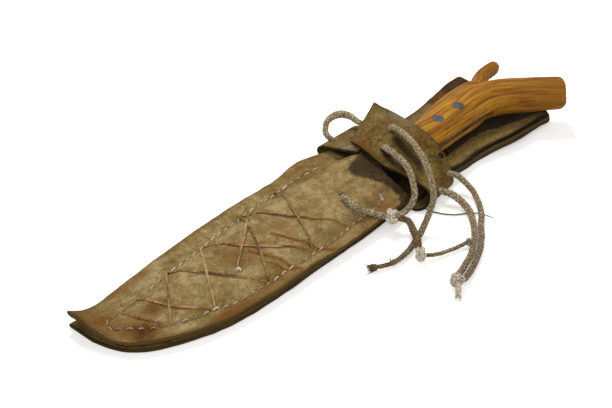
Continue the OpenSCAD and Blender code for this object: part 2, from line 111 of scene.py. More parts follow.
def distances(line: Array) -> Array:
    """Returns how far along a line each of its points is."""
    return np.concatenate([[0.0], np.cumsum(np.linalg.norm(np.diff(line, axis=0), axis=1))])


def spline(rows: list, t: Array | float) -> Array:
    """Follows a smooth curve through rows of numbers.

    Args:
        rows: The rows that the curve passes through, evenly spaced in t.
        t: Places along the curve, from 0 to 1.

    Returns:
        One row of numbers for each t.
    """
    p = np.asarray(rows, float)
    n = len(p) - 1
    s = np.minimum(clamp(t) * n, n - 0.0001)
    i = np.floor(s).astype(int)
    f = (s - i)[:, None]
    b, c = p[i], p[i + 1]
    a = np.where((i > 0)[:, None], p[np.maximum(i - 1, 0)], 2 * b - c)
    d = np.where((i + 2 <= n)[:, None], p[np.minimum(i + 2, n)], 2 * c - b)
    return 0.5 * (2 * b + (c - a) * f + (2 * a - 5 * b + 4 * c - d) * f**2 + (3 * b - a - 3 * c + d) * f**3)


def resampled(line: Array, step: float) -> Array:
    """Spaces points evenly along a line.

    Args:
        line: Points of the line.
        step: Distance between the new points, about.

    Returns:
        The new points, with both ends kept.
    """
    along = distances(line)
    at = np.linspace(0.0, along[-1], max(3, int(math.ceil(along[-1] / step)) + 1))
    return np.stack([np.interp(at, along, values) for values in line.T], axis=1)


def lattice_noise(x: Array, y: Array, cell: float, seed: int) -> Array:
    """Gives smooth noise from -1 to 1 over a plane.

    Args:
        x: First coordinates.
        y: Second coordinates, of the same shape.
        cell: Size of a bump, in the units of x and y.
        seed: Number that picks the pattern.

    Returns:
        The noise at each place.
    """
    table = np.random.default_rng(seed).uniform(-1.0, 1.0, (64, 64))
    u, v = x / cell, y / cell
    i, j = np.floor(u).astype(int), np.floor(v).astype(int)
    f, g = smooth(u - i), smooth(v - j)
    rows = [table[(i + a) % 64, (j + b) % 64] for a in (0, 1) for b in (0, 1)]
    return (rows[0] * (1 - g) + rows[1] * g) * (1 - f) + (rows[2] * (1 - g) + rows[3] * g) * f


def layered_noise(x: Array, y: Array, cell: float, seed: int, octaves: int = 3) -> Array:
    """Returns noise with finer and finer layers, each at half the size and strength of the last."""
    return sum(lattice_noise(x, y, cell / 2**k, seed + 17 * k) / 2**k for k in range(octaves))


def blots(x: Array, y: Array, *spots: tuple[float, ...]) -> Array:
    """Returns the sum of soft oval spots, each given by its x and y, its two half widths and its strength."""
    return sum(strength * np.exp(-(((x - a) / w) ** 2) - ((y - b) / h) ** 2) for a, b, w, h, strength in spots)


def streak(x: Array, y: Array, line: list[tuple[float, float]], width: float) -> Array:
    """Paints a soft line of strength 1 at its middle.

    Args:
        x: First coordinates.
        y: Second coordinates, of the same shape.
        line: Corners of the line.
        width: Half width at which it has faded.

    Returns:
        The strength at each place.
    """
    near = np.full(np.shape(x), 1e9)
    for (ax, ay), (bx, by) in zip(line[:-1], line[1:]):
        dx, dy = bx - ax, by - ay
        t = clamp(((x - ax) * dx + (y - ay) * dy) / (dx * dx + dy * dy))
        near = np.minimum(near, np.hypot(x - ax - t * dx, y - ay - t * dy))
    return np.exp(-((near / width) ** 2))


def frames_along(path: Array) -> tuple[Array, Array, Array]:
    """Carries a set of axes along a path without twist.

    Args:
        path: Points of the path.

    Returns:
        The direction, the first side and the second side at each point.
    """
    heading = unit(np.gradient(path, axis=0))
    side = np.zeros_like(path)
    side[0] = unit(np.cross(heading[0], [0.1, 0.2, 1.0]))
    for k in range(1, len(path)):
        side[k] = unit(side[k - 1] - heading[k] * float(side[k - 1] @ heading[k]))
    return heading, side, np.cross(heading, side)


def turned(degrees: Point) -> Array:
    """Works out a turn about x, then y, then z.

    Args:
        degrees: The three angles.

    Returns:
        The matrix of the turn.
    """
    cx, cy, cz = (math.cos(math.radians(a)) for a in degrees)
    sx, sy, sz = (math.sin(math.radians(a)) for a in degrees)
    about_y = np.array([[cy, 0, sy], [0, 1, 0], [-sy, 0, cy]])
    return np.array([[cz, -sz, 0], [sz, cz, 0], [0, 0, 1]]) @ about_y @ [[1, 0, 0], [0, cx, -sx], [0, sx, cx]]


def linked(name: str, data: bpy.types.ID) -> Piece:
    """Puts data into the scene.

    Args:
        name: Name of the object.
        data: The mesh, lamp or camera that it shows.

    Returns:
        The new object.
    """
    obj = bpy.data.objects.new(name, data)
    bpy.context.scene.collection.objects.link(obj)
    return obj


def rows_of(obj: Piece, key: str) -> Array:
    """Reads the points of an object.

    Args:
        obj: The object.
        key: co for their places or normal for their normals.

    Returns:
        Three numbers for each point, places in metres.
    """
    rows = np.zeros(len(obj.data.vertices) * 3)
    obj.data.vertices.foreach_get(key, rows)
    return rows.reshape(-1, 3)


def keep(mesh: bpy.types.Mesh, name: str, rows: Array) -> None:
    """Keeps numbers at each point of a mesh.

    Args:
        mesh: The mesh.
        name: Name that a finish reads them by.
        rows: Three numbers for each point, kept as a vector, or four, kept as a colour.
    """
    kind, key = ("FLOAT_COLOR", "color") if rows.shape[1] == 4 else ("FLOAT_VECTOR", "vector")
    kept = mesh.attributes.get(name) or mesh.attributes.new(name, kind, "POINT")
    kept.data.foreach_set(key, rows.astype(np.float32).ravel())


@dataclass
class Surface:
    """A mesh in the making: points in millimetres, faces, and four numbers kept at each point."""

    points: list = field(default_factory=list)
    faces: list = field(default_factory=list)
    marks: list = field(default_factory=list)
    count: int = 0

    def add(self, points: Array | list, faces: Array | list, marks: Array | None = None) -> None:
        """Adds points and the faces between them.

        Args:
            points: New points, in millimetres.
            faces: Rows of numbers into the new points.
            marks: Four numbers for each new point, or None for zeros.
        """
        points = np.reshape(points, (-1, 3))
        self.points.append(points)
        self.faces.extend((np.asarray(face) + self.count).tolist() for face in faces)
        self.marks.append(np.zeros((len(points), 4)) if marks is None else marks.reshape(-1, 4))
        self.count += len(points)

    def tube(self, path: Array, radii: Array, marks: Array | None = None, sides: int = 6, flat: float = 1.0,
             sides_at: tuple[Array, Array] | None = None) -> None:
        """Adds a closed tube.

        Args:
            path: Points down its middle.
            radii: Its radius at each of them.
            marks: Four numbers for each point of the path, or None.
            sides: Number of its sides.
            flat: Its thickness along the first side axis, as a share of its width.
            sides_at: Its two side axes at each point, or None to carry them along.
        """
        first, second = sides_at or frames_along(path)[1:]
        turn = np.arange(sides)[None, :, None] * 2 * math.pi / sides
        ring = np.cos(turn) * first[:, None] * flat + np.sin(turn) * second[:, None]
        here = np.arange(len(path) * sides).reshape(-1, sides)
        beside = np.roll(here, -1, axis=1)
        quads = np.stack([here[:-1], beside[:-1], beside[1:], here[1:]], axis=-1).reshape(-1, 4)
        faces = [*quads, here[0, ::-1], here[-1]]
        if float(np.cross(first[0], second[0]) @ (path[1] - path[0])) < 0:
            faces = [face[::-1] for face in faces]
        kept = None if marks is None else np.repeat(marks, sides, axis=0)
        self.add(path[:, None] + np.reshape(radii, (-1, 1, 1)) * ring, faces, kept)

    def build(self, name: str) -> Piece:
        """Returns the object, in metres, at the origin, with smooth faces and its numbers as marks."""
        mesh = bpy.data.meshes.new(name)
        mesh.from_pydata((np.concatenate(self.points) * MM).tolist(), [], self.faces)
        keep(mesh, "marks", np.concatenate(self.marks))
        mesh.shade_smooth()
        mesh.update()
        return linked(name, mesh)


def applied(obj: Piece) -> Piece:
    """Turns the evaluated object into a plain mesh and removes its modifiers.

    Args:
        obj: The object with its modifiers.

    Returns:
        The same object, with the result as its mesh.
    """
    graph = bpy.context.evaluated_depsgraph_get()
    mesh = bpy.data.meshes.new_from_object(obj.evaluated_get(graph), preserve_all_data_layers=True, depsgraph=graph)
    obj.modifiers.clear()
    obj.data = mesh
    return obj


def cut_away(obj: Piece, tools: list[Piece]) -> None:
    """Cuts tools out of an object and removes them.

    Args:
        obj: The object to cut.
        tools: Closed solids that are taken away from it.
    """
    for tool in tools:
        cut = obj.modifiers.new("cut", "BOOLEAN")
        cut.operation, cut.solver, cut.object = "DIFFERENCE", "EXACT", tool
    applied(obj)
    for tool in tools:
        bpy.data.objects.remove(tool)


def round_cutter(at: Point, lean: Point, d: float, length: float) -> Piece:
    """Makes a round bar to cut a hole with.

    Args:
        at: Its middle, in millimetres.
        lean: Its turn about x, y and z, in degrees, from upright.
        d: Its diameter.
        length: Its length.

    Returns:
        The bar, not part of any body yet.
    """
    bar = Surface()
    bar.tube(at + np.linspace(-length / 2, length / 2, 3)[:, None] * turned(lean)[:, 2], np.full(3, d / 2), sides=20)
    return bar.build("cutter")


def linear(colour: str) -> tuple[float, float, float, float]:
    """Turns a written sRGB colour into Blender's linear one.

    Args:
        colour: Six hex digits after a hash.

    Returns:
        Red, green, blue and an alpha of 1.
    """
    parts = [int(colour[i : i + 2], 16) / 255 for i in (1, 3, 5)]
    return (*[c / 12.92 if c <= 0.04045 else ((c + 0.055) / 1.055) ** 2.4 for c in parts], 1.0)


class Kind(Enum):
    """The kinds of node that the finishes and the seam are made of."""

    MATH = "ShaderNodeMath"
    MIX = "ShaderNodeMix"
    RANGE = "ShaderNodeMapRange"
    RAMP = "ShaderNodeValToRGB"
    NOISE = "ShaderNodeTexNoise"
    CELLS = "ShaderNodeTexVoronoi"
    MAPPING = "ShaderNodeMapping"
    COORDS = "ShaderNodeTexCoord"
    ATTRIBUTE = "ShaderNodeAttribute"
    PARTS = "ShaderNodeSeparateColor"
    RANDOM = "FunctionNodeRandomValue"
    BUMP = "ShaderNodeBump"
    SHADER = "ShaderNodeBsdfPrincipled"
    OUTPUT = "ShaderNodeOutputMaterial"


# Settings of nodes that mix two colours, by a share or by darkening one with the other.
MIXED = {"out": 2, "data_type": "RGBA"}
DARKENED = {"out": 2, "data_type": "RGBA", "blend_type": "MULTIPLY"}


class Nodes:
    """Adds nodes to one tree, which it empties first."""

    def __init__(self, tree: bpy.types.NodeTree) -> None:
        """Keeps the tree."""
        self.tree = tree
        tree.nodes.clear()

    def add(self, kind: Kind | str, links: dict | tuple = (), out: int | str = 0, stops: tuple = (),
            **settings: object) -> Socket | None:
        """Adds one node with its settings, values and links.

        Args:
            kind: Its kind.
            links: For each input, a socket to link or a value to set: by name or number, or else one
                after the other from the first. A written colour is turned to linear.
            out: The output that is wanted, by name or number.
            stops: For a ramp, its places and written colours.
            settings: Properties of the node.

        Returns:
            The wanted output, or None where the node has none.
        """
        node = self.tree.nodes.new(kind.value if isinstance(kind, Kind) else kind)
        for key, value in settings.items():
            setattr(node, key, value)
        for k, (place, colour) in enumerate(stops):
            if k >= len(node.color_ramp.elements):
                node.color_ramp.elements.new(place)
            node.color_ramp.elements[k].position, node.color_ramp.elements[k].color = place, linear(colour)
        for socket, source in links.items() if isinstance(links, dict) else enumerate(links):
            if isinstance(source, Socket):
                self.tree.links.new(source, node.inputs[socket])
            else:
                node.inputs[socket].default_value = linear(source) if str(source).startswith("#") else source
        return node.outputs[out] if len(node.outputs) else None

    def stained(self, colour: Socket, mark: Socket, amount: Socket | float, tint: Socket | str) -> Socket:
        """Returns the colour with a tint over it, where and as much as the mark times the amount says."""
        share = self.add(Kind.MATH, (mark, amount), operation="MULTIPLY", use_clamp=True)
        return self.add(Kind.MIX, {0: share, 6: colour, 7: tint}, **MIXED)

    def finish(self, height: Socket, relief_mm: float, strength: float, inputs: dict) -> None:
        """Ends a material.

        Args:
            height: The relief of the surface.
            relief_mm: How high the relief is.
            strength: How much of it shows.
            inputs: The shader's other inputs, by name.
        """
        bump = self.add(Kind.BUMP, {"Height": height, "Distance": relief_mm * MM, "Strength": strength})
        self.add(Kind.OUTPUT, (self.add(Kind.SHADER, {**inputs, "Normal": bump}),))


def new_material(name: str) -> tuple[Material, Nodes]:
    """Returns a new material of that name and its empty nodes."""
    material = bpy.data.materials.new(name)
    material.use_nodes = True
    return material, Nodes(material.node_tree)


def marked_material(name: str) -> tuple[Material, Nodes, Socket, list[Socket]]:
    """Starts a material that reads what is kept at the points.

    Args:
        name: Name of the material.

    Returns:
        The material, its nodes, the place on the object and the four numbers kept as marks.
    """
    material, nodes = new_material(name)
    marks = nodes.add(Kind.ATTRIBUTE, attribute_name="marks")
    parts = nodes.add(Kind.PARTS, (marks,)).node.outputs
    return material, nodes, nodes.add(Kind.COORDS, out="Object"), [*parts, marks.node.outputs["Alpha"]]


@dataclass(frozen=True)
class Leather:
    """Vegetable-tanned cattle hide, cut by hand, oiled, then dried and stained by years of use.

    The eye sees a dull olive tan, cloudy at the size of a thumb, with a fine speckled grain, brown
    where hands and rust have been, and darker along its edges. Its marks also carry painted shade, shadow and light.
    """

    name: str
    pale: str
    mid: str
    deep: str
    edge: str
    cut: str
    rust: str = "#77491a"
    shade_and_stain: str = "#3c2f1d"
    cloud_mm: float = 22.0
    mottle_mm: float = 5.0
    grain_mm: float = 1.3
    relief_mm: float = 0.3
    speckle: float = 0.27
    roughness: float = 0.78
    specular: float = 0.08

    def build(self) -> Material:
        """Returns the material. Its marks are rust (on the liner a painted lit band), edge, painted shade together with
        dark stains and pale grey patches, and cut edge (also painted shade and shadow).
        """
        material, nodes, place, (rust, edge, shade_and_stain, cut) = marked_material(self.name)
        # The grain of such hide is near 0.4 mm, too fine for the picture, so it is drawn at about 1.3 mm.
        cloud, mottle, grain = (
            nodes.add(Kind.NOISE, {"Vector": place, "Scale": 1 / (size * MM), "Detail": detail, "Roughness": rough,
                                   "Distortion": bent})
            for size, detail, rough, bent in ((self.cloud_mm, 4.0, 0.6, 0.5), (self.mottle_mm, 5.0, 0.72, 0.0),
                                              (self.grain_mm, 3.0, 0.8, 0.0)))
        pores = nodes.add(Kind.CELLS, {"Vector": place, "Scale": 0.7 / (self.grain_mm * MM)})
        tone = nodes.add(Kind.MIX, {0: 0.5, 2: cloud, 3: mottle})
        colour = nodes.add(Kind.RAMP, (tone,), stops=((0.38, self.deep), (0.5, self.mid), (0.6, self.pale)))
        speck = nodes.add(Kind.RANGE, (grain, 0.32, 0.66, 0.93 - self.speckle, 0.93 + self.speckle))
        pit = nodes.add(Kind.RANGE, (pores, 0.08, 0.34, 0.74, 1.0))
        colour = nodes.add(Kind.MIX, {0: 1.0, 6: colour, 7: speck}, **DARKENED)
        colour = nodes.add(Kind.MIX, {0: 0.8, 6: colour, 7: pit}, **DARKENED)
        for mark, noise, low, high, tint in (
                (rust, mottle, 0.4, 1.5, self.rust), (edge, mottle, 0.35, 1.3, self.edge),
                (shade_and_stain, mottle, 0.75, 1.15, self.shade_and_stain), (cut, grain, 0.7, 1.1, self.cut)):
            broken = nodes.add(Kind.RANGE, (noise, 0.34, 0.62, low, high))
            stain = nodes.add(Kind.MIX, {0: 1.0, 6: tint, 7: speck}, **DARKENED)
            colour = nodes.stained(colour, mark, broken, stain)
        height = nodes.add(Kind.MATH, (grain, 0.5, pores), operation="MULTIPLY_ADD")
        height = nodes.add(Kind.MATH, (mottle, 1.4, height), operation="MULTIPLY_ADD")
        shine = nodes.add(Kind.RANGE, (mottle, 0.3, 0.7, self.roughness + 0.1, self.roughness - 0.1))
        nodes.finish(height, self.relief_mm, 1.0, {"Base Color": colour, "Roughness": shine,
                                                   "Specular IOR Level": self.specular})
        return material


@dataclass(frozen=True)
class BranchWood:
    """A cured fruitwood branch with the bark scraped off and the surface worn smooth by a hand.

    The eye sees honey and orange brown with long darker streaks along the branch, fine ridges where
    the knife scraped it, and a satin gloss.
    """

    name: str = "scraped_branch_wood"
    pale: str = "#ca9335"
    mid: str = "#ae7826"
    deep: str = "#80501a"
    crack: str = "#532f10"
    sawn: str = "#8a5c28"
    warm: str = "#94611f"
    prong: str = "#7c4a08"
    streak_mm: float = 1.7
    fibre_mm: float = 0.55
    relief_mm: float = 0.6
    roughness: float = 0.52
    specular: float = 0.08

    def build(self) -> Material:
        """Returns the material. It reads the vectors called grain, and the marks crack, sawn, prong and browned."""
        material, nodes, place, (crack, sawn, prong, browned) = marked_material(self.name)
        grain = nodes.add(Kind.ATTRIBUTE, out="Vector", attribute_name="grain")
        layers = []
        for wide, along, detail, bent in ((3.2 * self.streak_mm, 0.02, 3.0, 0.7), (self.streak_mm, 0.03, 4.0, 0.6),
                                          (self.fibre_mm, 0.12, 2.0, 0.0)):
            drawn = nodes.add(Kind.MAPPING, {0: grain, 3: (along, 1 / wide, 1 / wide)})
            layers.append(nodes.add(Kind.NOISE, {"Vector": drawn, "Scale": 1.0, "Detail": detail, "Roughness": 0.6,
                                                 "Distortion": bent}))
        broad, streaks, fibres = layers
        cloud = nodes.add(Kind.NOISE, {"Vector": place, "Scale": 45.0, "Detail": 3.0})
        tone = nodes.add(Kind.MIX, {0: 0.5, 2: broad, 3: streaks})
        colour = nodes.add(Kind.RAMP, (tone,), stops=((0.31, self.crack), (0.41, self.deep), (0.505, self.mid),
                                                      (0.61, self.pale)))
        warm = nodes.add(Kind.RANGE, (cloud, 0.35, 0.7, 0.0, 0.4))
        colour = nodes.add(Kind.MIX, {0: warm, 6: colour, 7: self.warm}, **MIXED)
        speck = nodes.add(Kind.RANGE, (fibres, 0.3, 0.7, 0.82, 1.14))
        colour = nodes.add(Kind.MIX, {0: 1.0, 6: colour, 7: speck}, **DARKENED)
        for mark, amount, tint in ((crack, 0.7, self.crack), (sawn, 0.5, self.sawn), (prong, 0.75, self.prong),
                                   (browned, 0.5, self.deep)):
            colour = nodes.stained(colour, mark, amount, tint)
        height = nodes.add(Kind.MATH, (fibres, 0.3, streaks), operation="MULTIPLY_ADD")
        shine = nodes.add(Kind.RANGE, (streaks, 0.35, 0.6, self.roughness + 0.2, self.roughness - 0.05))
        nodes.finish(height, self.relief_mm, 0.8, {"Base Color": colour, "Roughness": shine,
                                                   "Specular IOR Level": self.specular})
        return material


@dataclass(frozen=True)
class Cotton:
    """Spun cotton yarn, braided or twisted, greyed by use and browned by dirt at its ends.

    The eye sees a dull fluffy thread in cream, grey and brown specks that change every few
    millimetres, with painted shade in the hollows between the strands.
    """

    name: str
    pale: str
    mid: str
    deep: str
    dirt: str = "#5c4326"
    braid_shade: str = "#33281a"
    fleck_mm: float = 2.4
    fibre_mm: float = 0.4
    relief_mm: float = 0.3
    sheen: float = 0.2

    def build(self) -> Material:
        """Returns the material. Its first marks are dirt and the painted shade of the hollows between strands."""
        material, nodes, place, (dirt, braid_shade, *_) = marked_material(self.name)
        fleck, fibre = (
            nodes.add(Kind.NOISE, {"Vector": place, "Scale": 1 / (size * MM), "Detail": detail, "Roughness": rough})
            for size, detail, rough in ((self.fleck_mm, 4.0, 0.75), (self.fibre_mm, 2.0, 0.5)))
        colour = nodes.add(Kind.RAMP, (fleck,), stops=((0.33, self.deep), (0.47, self.mid), (0.61, self.pale)))
        speck = nodes.add(Kind.RANGE, (fibre, 0.3, 0.7, 0.78, 1.16))
        colour = nodes.add(Kind.MIX, {0: 1.0, 6: colour, 7: speck}, **DARKENED)
        broken = nodes.add(Kind.RANGE, (fleck, 0.3, 0.65, 1.2, 0.6))
        for mark, amount, tint in ((dirt, broken, self.dirt), (braid_shade, 0.68, self.braid_shade)):
            colour = nodes.stained(colour, mark, amount, tint)
        nodes.finish(fibre, self.relief_mm, 1.0, {"Base Color": colour, "Roughness": 0.92, "Specular IOR Level": 0.12,
                                                  "Sheen Weight": self.sheen, "Sheen Roughness": 0.5})
        return material


@dataclass(frozen=True)
class Sinew:
    """Split and twisted animal sinew, dried hard.

    The eye sees an orange brown, half glossy strand that is straw pale where it is thin or worn by rubbing.
    """

    name: str = "dried_sinew"
    pale: str = "#cfa972"
    mid: str = "#825224"
    deep: str = "#522e12"
    relief_mm: float = 0.2

    def build(self) -> Material:
        """Returns the material. Its first mark is how pale the strand is."""
        material, nodes, place, (worn, *_) = marked_material(self.name)
        band = nodes.add(Kind.NOISE, {"Vector": place, "Scale": 80.0, "Detail": 4.0, "Roughness": 0.75})
        fine = nodes.add(Kind.NOISE, {"Vector": place, "Scale": 900.0, "Detail": 2.0})
        tone = nodes.add(Kind.MIX, {0: 0.35, 2: band, 3: fine})
        colour = nodes.add(Kind.RAMP, (tone,), stops=((0.4, self.deep), (0.5, self.mid), (0.63, self.pale)))
        colour = nodes.add(Kind.MIX, {0: worn, 6: colour, 7: self.pale}, **MIXED)
        nodes.finish(fine, self.relief_mm, 0.7, {"Base Color": colour, "Roughness": 0.55, "Specular IOR Level": 0.3})
        return material


@dataclass(frozen=True)
class WornSteel:
    """Hand-forged carbon steel, ground and tarnished: blue grey, with draw scratches and brown specks.

    Between the two places given along X it is painted near black, as painted shade where the blade lies in the sheath's
    dark mouth.
    """

    name: str
    tone: str = "#828486"
    tarnish: str = "#444340"
    rust: str = "#6b4a30"
    roughness: float = 0.38
    scratch_mm: float = 0.5
    relief_mm: float = 0.1
    mouth_shade: str = "#171412"
    mouth_shade_mm: tuple[float, float] = (0.0, 0.0)

    def build(self) -> Material:
        """Returns the material."""
        material, nodes = new_material(self.name)
        place = nodes.add(Kind.COORDS, out="Object")
        cloud = nodes.add(Kind.NOISE, {"Vector": place, "Scale": 60.0, "Detail": 6.0, "Roughness": 0.65})
        fine = 1 / (self.scratch_mm * MM)
        drawn = nodes.add(Kind.MAPPING, {0: place, 3: (30.0, fine, fine)})
        scratch = nodes.add(Kind.NOISE, {"Vector": drawn, "Scale": 1.0, "Detail": 3.0})
        pit = nodes.add(Kind.NOISE, {"Vector": place, "Scale": 420.0, "Detail": 4.0, "Roughness": 0.7})
        dull = nodes.add(Kind.RANGE, (cloud, 0.38, 0.64))
        rusty = nodes.add(Kind.RANGE, (pit, 0.6, 0.72, 0.0, 0.8))
        x = nodes.add(Kind.PARTS, (place,))
        # Painted shade: near black between the two places, where the blade lies in the sheath's dark mouth.
        start, end = (at * MM for at in self.mouth_shade_mm)
        begun = nodes.add(Kind.RANGE, (x, start, start + 12 * MM, 0.0, 0.9))
        ground = nodes.add(Kind.RANGE, (x, end, end + 2 * MM, 1.0, 0.0))
        mouth_shaded = nodes.add(Kind.MATH, (begun, ground), operation="MULTIPLY")
        colour = self.tone
        for share, tint in ((dull, self.tarnish), (rusty, self.rust), (mouth_shaded, self.mouth_shade)):
            colour = nodes.add(Kind.MIX, {0: share, 6: colour, 7: tint}, **MIXED)
        shine = nodes.add(Kind.RANGE, (cloud, 0.35, 0.7, self.roughness, self.roughness + 0.25))
        height = nodes.add(Kind.MIX, {0: 0.4, 2: scratch, 3: pit})
        nodes.finish(height, self.relief_mm, 0.8, {"Base Color": colour, "Metallic": 1.0, "Roughness": shine})
        return material


# The finishes, each with the colours that its surface has in daylight; some of the leathers' mark colours also paint
# shade, shadow or light, as said below.
FRONT_LEATHER = Leather("oiled_hide_front", pale="#b29d72", mid="#957f50", deep="#765f33", edge="#6b5026",
                        cut="#564324")
# The back's shade colour also paints the handle's shadow; its cut colour and the welt's shade colour paint the shade in
# the gap under the collar.
BACK_LEATHER = Leather("oiled_hide_back", pale="#8f7a4c", mid="#796338", deep="#614c28", edge="#4d3a1d",
                       cut="#3a2d18", rust="#673d18", shade_and_stain="#3f2a15")
WELT_LEATHER = Leather("hide_welt", pale="#75613a", mid="#574625", deep="#3a2c15", edge="#4a3a1e", cut="#4b3b20")
# The liner's dark colours partly stand in for the handle's shadow; its shade colour paints that shadow and its rust
# colour the painted lit band beyond it.
LINER_LEATHER = Leather("dark_hide_liner", pale="#4c3d25", mid="#33281a", deep="#1d150c", edge="#241a0e",
                        cut="#1a130a", rust="#7a6639", shade_and_stain="#31271a")
# The collar's cut colour also paints the cords' shadows on its flap, and its shade colour is the pale grey of its worn
# patches.
COLLAR_LEATHER = Leather("oiled_hide_collar", pale="#8a7540", mid="#715c30", deep="#503c1a", edge="#543c1b",
                         cut="#2f2110", shade_and_stain="#8a7c68", mottle_mm=3.4, relief_mm=0.36, speckle=0.4)
PLAIN_COTTON = Cotton("braided_cotton", pale="#d1c1a1", mid="#998665", deep="#7a674a", braid_shade="#43351f")
KNOT_COTTON = Cotton("worn_pale_cotton", pale="#fff8ea", mid="#e0d4be", deep="#a8997f", braid_shade="#7a6a50")
STAINED_COTTON = Cotton("stained_cotton", pale="#a48a62", mid="#775d3b", deep="#4a3419")
STITCH_COTTON = Cotton("waxed_stitch_thread", pale="#f2e8d2", mid="#dccdae", deep="#b09a74", dirt="#8a7448", sheen=0.1)
PALE_SINEW = Sinew()
DARK_SINEW = Sinew("dark_sinew", pale="#5a4630", mid="#2c2114", deep="#140e08")
# The blade's near black band is painted shade of the sheath's mouth.
BLADE_STEEL = WornSteel("forged_blade_steel", mouth_shade_mm=(106.0, 158.0))
RIVET_STEEL = WornSteel("tarnished_rivet_steel", tone="#4d545b", tarnish="#34393f", rust="#4a4338", roughness=0.5)


@dataclass
class Form:
    """The shared form of the leather layers and of the knife in them, in millimetres."""

    blade_w: float = 40.0
    blade_t: float = 3.6
    blade_l: float = 262.0
    handle_d: float = 29.0
    handle_l: float = 137.0
    prong_d: float = 13.0
    axis_off: float = 4.4
    neck_l: float = 18.0
    tang_l: float = 101.0
    tang_w: float = 26.0
    leather_t: float = 2.8
    liner_t: float = 2.4
    collar_t: float = 2.4
    collar_w: float = 45.0
    spine_margin: float = 34.5
    belly_margin: float = 20.5
    tip_margin: float = 26.0
    wing_l: float = 160.0
    spine_seam: float = 14.0
    welt_w: float = 9.0
    wing_curl: float = 5.0
    tip_curl: float = 8.0
    crown: float = 1.3
    lay_gap: float = 0.2
    knife_gap: float = 0.4
    tang_gap: float = 0.15
    hole_d: float = 5.6
    mouth_x: float = 140.0
    mouth_slant: float = 28.0
    strap_x: float = 125.0
    heel_x: float = 150.0
    back_y: float = 13.0
    axis_y: float = -12.5
    tilt: float = 2.1

    def __post_init__(self) -> None:
        """Works out the lengths that follow from the named ones."""
        self.handle_x = self.heel_x + self.neck_l
        self.tip_x = self.heel_x - self.blade_l - self.tip_margin
        self.end_x = self.mouth_x + self.wing_l
        self.spine_y = self.back_y + self.spine_margin
        self.belly_y = self.back_y - self.blade_w - self.belly_margin
        self.lift_h = self.collar_t + self.lay_gap
        self.handle_low = self.lift_h + self.leather_t + self.knife_gap
        self.slope = math.tan(math.radians(self.tilt))
        self.plane_z = self.handle_low + self.handle_d / 2 - self.axis_off - self.handle_x * self.slope
        tx, ex, by, sy = self.tip_x, self.end_x, self.belly_y, self.spine_y

        def rows(start: float, way: int, *steps: Point) -> list:
            """Returns rows of belly x, y and spine x, y, from places along and both offsets across."""
            return [[start + way * x, by + b, start + way * x, sy - s] for x, b, s in steps]

        pocket = [[tx + 0.5, by + 60, tx, sy - 12.5], [tx + 4.5, by + 44.5, tx + 5.5, sy - 12.8]]
        pocket += rows(tx, 1, (11.5, 32, 13), (27, 20, 12.5), (50, 9.5, 9.5), (78, 2, 6), (108, -0.5, 3.5))
        pocket += rows(0, 1, (5, -0.5, 1), (40, 0, -1), (75, 0.5, -0.5), (103, 0.5, -2))
        self.front_rows = [*pocket, [self.mouth_x - self.mouth_slant, by + 0.5, self.mouth_x, sy - 5]]
        self.back_rows = [*pocket, *rows(0, 1, (125, 0, 2.5), (150, 0, 7.5), (175, 0, 11)),
                          *rows(ex, -1, (95, 0.5, 12.5), (74, -2.5, 12.3), (52, -7.5, 10), (30, -9.5, 6)),
                          [ex - 10, by - 9.5, ex - 13, sy - 3], [ex + 3, by, ex + 1, sy - 2.5]]
        line = spline(self.front_rows, np.linspace(0, 1, 161))
        self.belly_line, self.spine_line = line[:, :2], line[:, 2:]

    def plane_at(self, x: Array | float) -> Array:
        """Returns the height of the blade's middle plane."""
        return self.plane_z + x * self.slope

    def in_knife(self, points: Array) -> Array:
        """Returns points of the knife's own frame, turned and lifted to where the knife lies."""
        c, s = math.cos(math.radians(self.tilt)), math.sin(math.radians(self.tilt))
        x, y, z = np.moveaxis(points, -1, 0)
        return np.stack([c * x - s * z, y, s * x + c * z + self.plane_z], axis=-1)

    def lift(self, x: Array) -> Array:
        """Returns how far the back panel climbs over the collar's strap."""
        start, end, climb = self.strap_x - 50, self.strap_x + self.collar_w + 30, 28
        return self.lift_h * smooth((x - start) / climb) * smooth((end - x) / climb)

    def curl(self, x: Array, y: Array) -> Array:
        """Returns how far the belly edge curls up behind the handle."""
        along = smooth((x - self.strap_x - self.collar_w - 12) / 55) * (1 - 0.45 * smooth((x - self.end_x + 22) / 24))
        return self.wing_curl * clamp((self.belly_y + 14 - y) / 23) ** 2 * along

    def ripple(self, x: Array, y: Array) -> Array:
        """Returns the shared waviness of the layers near their edges, never below 0."""
        rim = smooth((np.abs(y - 2) - 26) / 20)
        return rim * (0.7 + 0.7 * lattice_noise(x, y * 0.4, 26.0, 5)) * smooth((118 - x) / 20)

    def back_low(self, x: Array, y: Array) -> Array:
        """Returns the height of the back panel's underside."""
        return self.lift(x) + self.curl(x, y) + self.ripple(x, y)

    def seat(self, x: Array, y: Array, from_edge: Array) -> Array:
        """Returns the height that an upper layer lies at: on the welt at the belly edge, else on the back."""
        layer = self.leather_t + self.lay_gap
        return self.back_low(x, y) + layer * (1 + smooth((self.welt_w + 13 - from_edge) / 9))

    def front_low(self, x: Array, y: Array, from_edge: Array, from_spine: Array) -> Array:
        """Returns the height of the front panel's underside.

        Args:
            x: Places along the sheath.
            y: Places across it.
            from_edge: Their distances from the belly edge.
            from_spine: Their distances from the spine edge.

        Returns:
            The heights.
        """
        s = self.seat(x, y, from_edge)
        crown = self.plane_at(x) + self.blade_t / 2 + self.knife_gap + self.crown * clamp(1 - ((y + 7) / 24) ** 2)
        bulge = smooth((from_edge - self.welt_w) / 10) * smooth((from_spine - self.spine_seam) / 19)
        tip = self.tip_curl * clamp((self.tip_x + 26 - x) / 26) ** 2 * clamp(1 - from_spine / 40)
        return s + np.maximum(0, crown - s) * bulge * smooth((x - self.tip_x - 8) / 14) + tip

